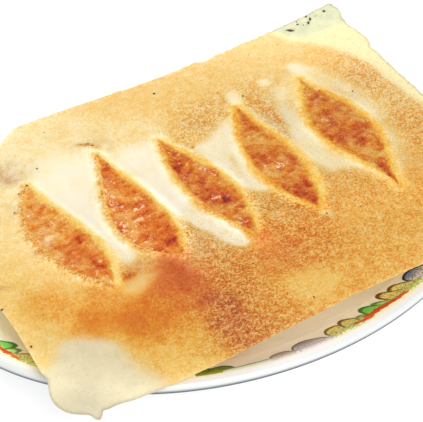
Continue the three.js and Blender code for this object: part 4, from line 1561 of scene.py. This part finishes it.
def starch_material():
    material, tree, shader, here = new_material("crisp starch")
    grit = mark(tree, "grit")
    grain = place(tree, crust_grain, {"Vector": here, "Size": GRAIN_SIZE,
                                      "Crisp": count(tree, "MULTIPLY", grit, 0.8)})
    wide = noise(tree, here, WIDE_CLOUDS, 4.0)
    fray = count(tree, "SUBTRACT", wide, 0.5)
    milk, thin, calm, loose = starch_zones(tree, grain, grit, fray)
    scratches = place(tree, pan_scratches, {"Vector": here, "Turn": 0.5, "Share": 0.45})["Mask"]
    scratched = count(tree, "MULTIPLY", scratches, mark(tree, "scratched"))
    fried = fried_starch(tree, grain, grit, fray, milk, calm, scratched)
    colour = blend(tree, thin, fried, thin_starch(tree, grain, wide))
    colour = weathered(tree, colour, grain, grit, calm, thin, loose)
    relief = count(tree, "MULTIPLY", grain["Height"], rise(tree, calm, 0.0, 1.0, 1.0, 0.3))
    relief = count(tree, "MULTIPLY", relief, count(tree, "MULTIPLY_ADD", grit, 0.34, 0.2))
    relief = count(tree, "MULTIPLY_ADD", scratched, 0.3, relief)
    rough = count(tree, "MULTIPLY_ADD", grain["Value"], 0.12, 0.42)
    normal = dress(tree, shader, colour, relief, 0.9, 0.0006, rough)
    shader.inputs["Specular IOR Level"].default_value = 0.2
    paler = blend(tree, 0.6, colour, paint("fffaf0"))
    let_through = add(tree, "ShaderNodeBsdfTranslucent", {"Color": paler, "Normal": normal})
    clear = count(tree, "MULTIPLY_ADD", mark(tree, "thick"), -0.34, 0.56)
    both = add(tree, "ShaderNodeMixShader", {0: clear, 1: shader.outputs[0], 2: let_through.outputs[0]})
    tree.links.new(both.outputs[0], tree.nodes["Material Output"].inputs["Surface"])
    return material


starch_sheet.data.materials.append(starch_material())
print("nodes in the sheet's finish:", len(starch_sheet.data.materials[0].node_tree.nodes))

# %% [markdown]
# ## The finish of the dumplings
#
# The fried base is the shiniest part of the food: fat and moisture sit in its wrinkles and catch the
# light as many small points, and pale glints are painted into its colour as highlights besides. Below
# the base the wrapper is only steamed: pale, soft and slightly see-through, with a trace of browning
# just under the rim.

# %% The fried dough material
DOUGH_GRAIN = 1.5
DOUGH_CLOUDS = 280.0


def dough_material():
    material, tree, shader, here = new_material("fried dough")
    crust, blush_and_painted_highlight = mark(tree, "crust"), mark(tree, "blush_and_painted_highlight")
    grain = place(tree, crust_grain, {"Vector": here, "Size": DOUGH_GRAIN, "Crisp": 0.4})
    wide = noise(tree, here, DOUGH_CLOUDS, 3.0)
    blot = count(tree, "MULTIPLY", count(tree, "SUBTRACT", wide, 0.5), 0.4)
    deep = mark(tree, "deep")
    speckle = count(tree, "ADD", count(tree, "MULTIPLY", grain["Value"], 0.15), blot)
    speckle = count(tree, "MULTIPLY", speckle, rise(tree, deep, 0.0, 1.0, 0.4, 1.0))
    fried = place(tree, browning, {"Toast": mark(tree, "toast"), "Rust": mark(tree, "rust"),
                                   "Grain": speckle})["Color"]
    # painted highlights: tiny pale glints in the colour, thicker where the skin blushes
    gleam = count(tree, "MULTIPLY_ADD", blush_and_painted_highlight, 0.62, count(tree, "MULTIPLY", grain["Value"], -0.7))
    painted_glints = count(tree, "MULTIPLY", rise(tree, gleam, 0.46, 0.8), crust)
    # the dough is thicker than the skirt, so the same browning looks deeper on it
    depth = blend(tree, mark(tree, "dusk"), paint("e8ccb2"), paint("d8cbb0"))
    depth = blend(tree, deep, paint("eefaff"), depth)
    fried = blend(tree, 1.0, fried, depth, how="MULTIPLY")
    fried = blend(tree, count(tree, "MULTIPLY", painted_glints, 0.8), fried, paint("f4c8a0"))
    steamed = blend(tree, rise(tree, wide, 0.3, 0.7), paint("f2e4c8"), paint("ecdab8"))
    colour = blend(tree, crust, steamed, fried)
    relief = count(tree, "MULTIPLY", grain["Height"], rise(tree, crust, 0.0, 1.0, 0.2, 1.0))
    rough = rise(tree, count(tree, "ADD", wide, blush_and_painted_highlight), 0.3, 0.9, 0.34, 0.2)
    dress(tree, shader, colour, relief, 1.0, 0.0008, rough)
    shader.inputs["Specular IOR Level"].default_value = 0.22
    shader.inputs["Subsurface Weight"].default_value = 0.1
    shader.inputs["Subsurface Radius"].default_value = (1.0, 0.45, 0.2)
    shader.inputs["Subsurface Scale"].default_value = 0.001
    return material


fried_dough = dough_material()
for dumpling in dumplings:
    dumpling.data.materials.append(fried_dough)
print("nodes in the dumplings' finish:", len(fried_dough.node_tree.nodes))

# %% [markdown]
# The flecks are charred: nearly black, with a little brown in their grain.

# %% The charred material
def charred_material():
    material, tree, shader, here = new_material("charred crumbs")
    grain = place(tree, crust_grain, {"Vector": here, "Size": 0.6, "Crisp": 0.3})
    colour = blend(tree, rise(tree, grain["Value"], -0.4, 0.5), paint("2a2018"), paint("5a3c20"))
    rough = rise(tree, grain["Value"], -0.5, 0.5, 0.5, 0.8)
    dress(tree, shader, colour, grain["Height"], 0.6, 0.0002, rough)
    return material


burnt_flecks.data.materials.append(charred_material())
print("nodes in the flecks' finish:", len(burnt_flecks.data.materials[0].node_tree.nodes))

# %% [markdown]
# ## The painted border
#
# Such platters carry an old pattern: overlapping clouds and scales with flames between them, laid
# just inside the white lip. Each lobe is a hill that stands on the lip and points to the well. It
# has a dark line along its top, a strong colour under that, and fades towards the lip. One group
# draws one lobe over what is already painted, and the border is a chain of them, each overlapping
# the one before, just as a painter works.

# %% The enamel lobe group
LIP_LINE = 94.0
# a lobe is rounder than an ellipse: its outline is where share and climb, each to this power, add to
# 1; the root takes the power back
LOBE_POWER = 2.2
LOBE_ROOT = 0.4545


def build_lobe():
    group, given, result = new_group(
        "enamel lobe",
        {"Under": ("C", (1, 1, 1, 1)), "Along": ("F", 0.0), "Up": ("F", 0.0), "Scales": ("F", 0.0),
         "Middle": ("F", 0.0), "Half Width": ("F", 5.0), "Height": ("F", 12.0), "Lean": ("F", 0.0),
         "Line": ("F", 0.9), "Scaly": ("F", 0.0), "Fade": ("F", 0.5),
         "Deep": ("C", (1, 1, 1, 1)), "Pale": ("C", (1, 1, 1, 1)), "Outline": ("C", (0, 0, 0, 1))},
        {"Color": ("C", None)},
    )
    across = count(group, "SUBTRACT", given["Along"], given["Middle"])
    across = count(group, "SUBTRACT", across, count(group, "MULTIPLY", given["Up"], given["Lean"]))
    share = count(group, "DIVIDE", across, given["Half Width"])
    climb = count(group, "DIVIDE", given["Up"], given["Height"])
    round_share = count(group, "POWER", count(group, "ABSOLUTE", share), LOBE_POWER)
    round_climb = count(group, "POWER", count(group, "ABSOLUTE", climb), LOBE_POWER)
    far = count(group, "POWER", count(group, "ADD", round_share, round_climb), LOBE_ROOT)
    inward = count(group, "MULTIPLY", count(group, "SUBTRACT", 1.0, far), given["Half Width"])
    shape = rise(group, inward, -0.12, 0.12)
    line = count(group, "MULTIPLY", shape, rise(group, inward, 0.55, 1.1, 1.0, 0.0))
    line = count(group, "MULTIPLY", line, count(group, "MULTIPLY", given["Line"],
                                                rise(group, climb, 0.05, 0.6)))
    shade = rise(group, climb, 0.0, 1.0)
    shade = rise(group, count(group, "ADD", shade, given["Fade"]), 0.4, 1.3)
    fill = blend(group, shade, given["Pale"], given["Deep"])
    scaly = count(group, "MULTIPLY", given["Scales"], given["Scaly"])
    fill = blend(group, scaly, fill, given["Outline"])
    painted = blend(group, line, fill, given["Outline"])
    group.links.new(blend(group, shape, given["Under"], painted), result["Color"])
    return group


enamel_lobe = build_lobe()
print("groups so far:", [group.name for group in bpy.data.node_groups])

# %% The lobes of one motif
# a flame floats over the lip and tilts towards it, with flickering edges; the other lobes stand on it
FLAME_TILT = 0.3
FLAME_FLICKER = 3.2
SCALES_PER_METRE = 500.0
# lift over the lip, middle, half width, height, lean, line, scaly, fade, deep, pale, outline
LOBES = [
    (0, -79, 8, 13, 0.05, 0.9, 0.0, 0.4, "4a8408", "7c981c", "264c08"),
    (0, -70, 6, 11, 0.0, 0.9, 0.0, 0.4, "5c8a0c", "8c9c20", "2c4c0c"),
    (0, -58, 12, 4.5, 0.0, 0.7, 0.0, 0.2, "a9a88a", "cfe0c4", "8a7f6a"),
    (0, -46, 5.5, 8.5, 0.0, 0.8, 0.3, 0.2, "a9a090", "d6d0c4", "7c7064"),
    (0, -33, 8.5, 12, -0.05, 0.9, 0.45, 0.1, "8c8a94", "e2e0e6", "5d4a46"),
    (0, -18.5, 6.5, 13.8, 0.0, 0.95, 0.75, 0.25, "fff484", "eaf4a8", "6b5128"),
    (0, -12, 5, 15, 0.05, 0.95, 0.75, 0.25, "fff480", "e4f4a0", "6b5128"),
    (0, -6.5, 3.8, 10, 0.0, 0.7, 0.0, 0.3, "b0d060", "eaf4b0", "5f8238"),
    (0, 5.5, 3.6, 12.8, 0.0, 0.8, 0.0, 0.4, "b0ea80", "d8f0a0", "3f6b3c"),
    (0, 0, 5, 15.2, 0.05, 1.0, 0.0, 0.5, "74dc58", "c8f088", "2f7a34"),
    (0, 31, 8.5, 14, 0.1, 1.0, 0.75, 0.15, "4478cc", "f0f8ff", "14141e"),
    (0, 19, 5.8, 14.8, 0.1, 1.0, 0.75, 0.3, "fff898", "dcf490", "6b4c18"),
    (0, 13, 5.2, 16.3, 0.05, 1.0, 0.75, 0.35, "fff690", "e4f694", "6b4c18"),
    (0, 44, 6, 8, 0.0, 0.8, 0.3, 0.2, "a9a090", "d6d0c4", "7c7064"),
    (0, 56, 10, 4.5, 0.0, 0.7, 0.0, 0.2, "a9a88a", "cfe0c4", "8a7f6a"),
    (0, 2, 13, 3.0, 0.0, 0.0, 0.0, 0.0, "ffe690", "fff2c0", "e8a050"),
    (2.6, -9.5, 4.2, 1.7, 0.0, 0.3, 0.0, 0.9, "e25a16", "ea7a2c", "b8401a"),
    (4.2, -4, 3.4, 2.3, 0.0, 0.3, 0.0, 0.9, "dc5012", "e6702a", "b23c18"),
    (4.0, 1.5, 3.8, 2.4, 0.0, 0.3, 0.0, 0.9, "d84c10", "e46a24", "a83616"),
    (3.4, 7, 3.4, 2.0, 0.0, 0.3, 0.0, 0.9, "d84c10", "e46a24", "a83616"),
    (2.4, 12, 3.4, 1.4, 0.0, 0.3, 0.0, 0.9, "e05a18", "ee8438", "b84420"),
]


def painted(tree, here, well_with_painted_bounce, along, up):
    """The whole border over the colour of the well: lobe after lobe, each over those before it."""
    cells = add(tree, "ShaderNodeTexVoronoi", {"Vector": here, "Scale": SCALES_PER_METRE},
                feature="DISTANCE_TO_EDGE")
    scales = rise(tree, cells.outputs["Distance"], 0.02, 0.09, 1.0, 0.0)
    flicker = count(tree, "SUBTRACT", noise(tree, here, 420.0, 1.0), 0.5)
    flicker = count(tree, "MULTIPLY", flicker, FLAME_FLICKER)
    colour = well_with_painted_bounce
    for lift, middle, width, height, lean, line, scaly, fade, deep, pale, outline in LOBES:
        raised = up
        if lift:
            from_middle = count(tree, "SUBTRACT", along, float(middle))
            tilted = count(tree, "MULTIPLY", from_middle, FLAME_TILT)
            raised = count(tree, "ADD", count(tree, "SUBTRACT", up, lift),
                           count(tree, "ADD", tilted, flicker))
        colour = place(tree, enamel_lobe, {
            "Under": colour, "Along": along, "Up": raised, "Scales": scales, "Middle": float(middle),
            "Half Width": float(width), "Height": float(height), "Lean": lean, "Line": line,
            "Scaly": scaly, "Fade": fade, "Deep": paint(deep), "Pale": paint(pale),
            "Outline": paint(outline)})["Color"]
    return colour


print(f"{len(LOBES)} lobes in a motif")

# %% [markdown]
# The glaze is clear and glossy, and it has a very slight ripple that shows only in reflections. Its
# colour is near white, with painted light and shade: a faint warmth in the well is painted for the warm
# light that the fried sheet throws down, and the lip is painted greyer towards its outer side as its
# shade. Two places are duller than the rest: the enamel of the border, which is painted over the glaze,
# and a thin dark line under the lip, a painted shadow, with the underside below it painted a paler grey
# shade.

# %% The painted porcelain material
# heights in metres between which the painted shadow line under the lip begins and ends
SHADOW_LINE_STARTS = (0.0208, 0.0218)
SHADOW_LINE_ENDS = (0.0238, 0.0257)


def porcelain_material():
    material, tree, shader, here = new_material("painted porcelain")
    turns, out = mark(tree, "rim_along"), mark(tree, "rim_out")
    shaky = noise(tree, here, 220.0, 2.0)
    shake = count(tree, "SUBTRACT", shaky, 0.5)
    nearest = count(tree, "SUBTRACT", turns, count(tree, "ROUND", turns))
    along = count(tree, "MULTIPLY_ADD", nearest, MOTIF_LENGTH, count(tree, "MULTIPLY", shake, 1.6))
    up = count(tree, "MULTIPLY_ADD", shake, 1.2, count(tree, "SUBTRACT", LIP_LINE, out))
    # the faint warmth of the well is painted: it stands for the warm light the fried sheet throws down
    well_with_painted_bounce = blend(tree, rise(tree, out, 58.0, 90.0), paint("faffea"), paint("fafeec"))
    border = painted(tree, here, well_with_painted_bounce, along, up)
    height = add(tree, "ShaderNodeSeparateXYZ", {0: here}).outputs["Z"]
    in_border = rise(tree, up, -0.1, 0.1)
    # painted shade: the lip greys towards its outer side, a dark line under it is its painted shadow, and
    # the underside below is painted a paler grey
    lip_with_painted_shade = blend(tree, rise(tree, out, 94.6, 97.6), paint("f2eee0"), paint("d0d2d0"))
    lip = blend(tree, rise(tree, height, *SHADOW_LINE_ENDS), paint("565c64"), lip_with_painted_shade)
    lip = blend(tree, rise(tree, height, *SHADOW_LINE_STARTS), paint("c6c9ca"), lip)
    colour = blend(tree, in_border, lip, border)
    in_shadow_line = count(tree, "MULTIPLY", rise(tree, height, *SHADOW_LINE_ENDS, 1.0, 0.0),
                    rise(tree, height, *SHADOW_LINE_STARTS))
    # the painted shadow line is matt and has no coat, so that it stays dark
    shadow_line_matt = count(tree, "MULTIPLY", in_shadow_line, count(tree, "SUBTRACT", 1.0, in_border))
    enamelled = count(tree, "MULTIPLY", in_border, rise(tree, up, 15.0, 18.0, 1.0, 0.0))
    dull = count(tree, "MAXIMUM", shadow_line_matt, enamelled)
    rough = count(tree, "MULTIPLY_ADD", dull, 0.55, rise(tree, shaky, 0.2, 0.8, 0.12, 0.2))
    dress(tree, shader, colour, noise(tree, here, 45.0, 1.0), 0.08, 0.001, rough)
    tree.links.new(rise(tree, dull, 0.0, 1.0, 0.5, 0.0), shader.inputs["Coat Weight"])
    shader.inputs["Coat Roughness"].default_value = 0.05
    return material


porcelain_plate.data.materials.append(porcelain_material())
print("nodes in the plate's finish:", len(porcelain_plate.data.materials[0].node_tree.nodes))

# %% [markdown]
# ## The floor, the light and the camera
#
# The dish stands on a plain pale floor in a bright, even studio. The floor is a mid grey that glows a
# little, so it comes out nearly white and still takes a faint shadow. A wide, soft key light stands
# in front. A small one behind, like a window, models the valleys and puts gleams on the fried bases,
# and a white surround fills the rest. The Standard view keeps the whites white.

# %% Floor
FLOOR_HALF = 4
floor_corners = [(x * FLOOR_HALF, y * FLOOR_HALF, 0) for x, y in ((-1, -1), (1, -1), (1, 1), (-1, 1))]
floor_mesh = bpy.data.meshes.new("floor")
floor_mesh.from_pydata(floor_corners, [], [(0, 1, 2, 3)])
floor = bpy.data.objects.new("floor", floor_mesh)
bpy.context.scene.collection.objects.link(floor)
floor_material, _, floor_shader, _ = new_material("white floor")
floor_shader.inputs["Base Color"].default_value = (0.4, 0.4, 0.4, 1)
floor_shader.inputs["Roughness"].default_value = 0.9
floor_shader.inputs["Emission Color"].default_value = (1, 1, 1, 1)
floor_shader.inputs["Emission Strength"].default_value = 0.65
floor_mesh.materials.append(floor_material)
print("the floor is", 2 * FLOOR_HALF, "metres wide")

# %% Light
scene = bpy.context.scene
scene.world = bpy.data.worlds.new("studio")
scene.world.use_nodes = True
surround = scene.world.node_tree.nodes["Background"]
surround.inputs["Color"].default_value = (1, 1, 1, 1)
surround.inputs["Strength"].default_value = 0.7


def soft_light(name, stand, size, power, aim=(0, 0, 0.03)):
    """A round lamp at a place in metres, turned to the middle of the dish."""
    lamp = bpy.data.lights.new(name, "AREA")
    lamp.shape, lamp.size, lamp.energy = "DISK", size, power
    holder = bpy.data.objects.new(name, lamp)
    holder.location = stand
    holder.rotation_euler = (Vector(aim) - Vector(stand)).to_track_quat("-Z", "Y").to_euler()
    scene.collection.objects.link(holder)
    print(f"{name}: {size} m wide, {power} W")


soft_light("window", (-0.15, 0.78, 0.68), 0.3, 3.6)
soft_light("key", (-0.05, -1.1, 1.2), 1.0, 20.0)
scene.view_settings.view_transform = "Standard"

# %% [markdown]
# The camera looks down on the dish from the front left, as a diner would, but through a long lens, so
# that near and far dumplings look nearly the same size.

# %% Camera
CAMERA_AROUND = math.radians(-29.65)
CAMERA_ABOVE = math.radians(40.77)
# in millimetres, as the design values are
CAMERA_AWAY = 724.57
CAMERA_AIM = Vector((-4.44, -9.06, 36.5))
LENS = 140
SENSOR = 36

back = Vector((math.sin(CAMERA_AROUND) * math.cos(CAMERA_ABOVE),
               -math.cos(CAMERA_AROUND) * math.cos(CAMERA_ABOVE), math.sin(CAMERA_ABOVE)))
camera = bpy.data.objects.new("camera", bpy.data.cameras.new("camera"))
camera.data.lens = LENS
camera.data.sensor_width = SENSOR
camera.location = (CAMERA_AIM + back * CAMERA_AWAY) * MM
camera.rotation_euler = (-back).to_track_quat("-Z", "Y").to_euler()
scene.collection.objects.link(camera)
scene.camera = camera
print("camera at", [round(value, 3) for value in camera.location])
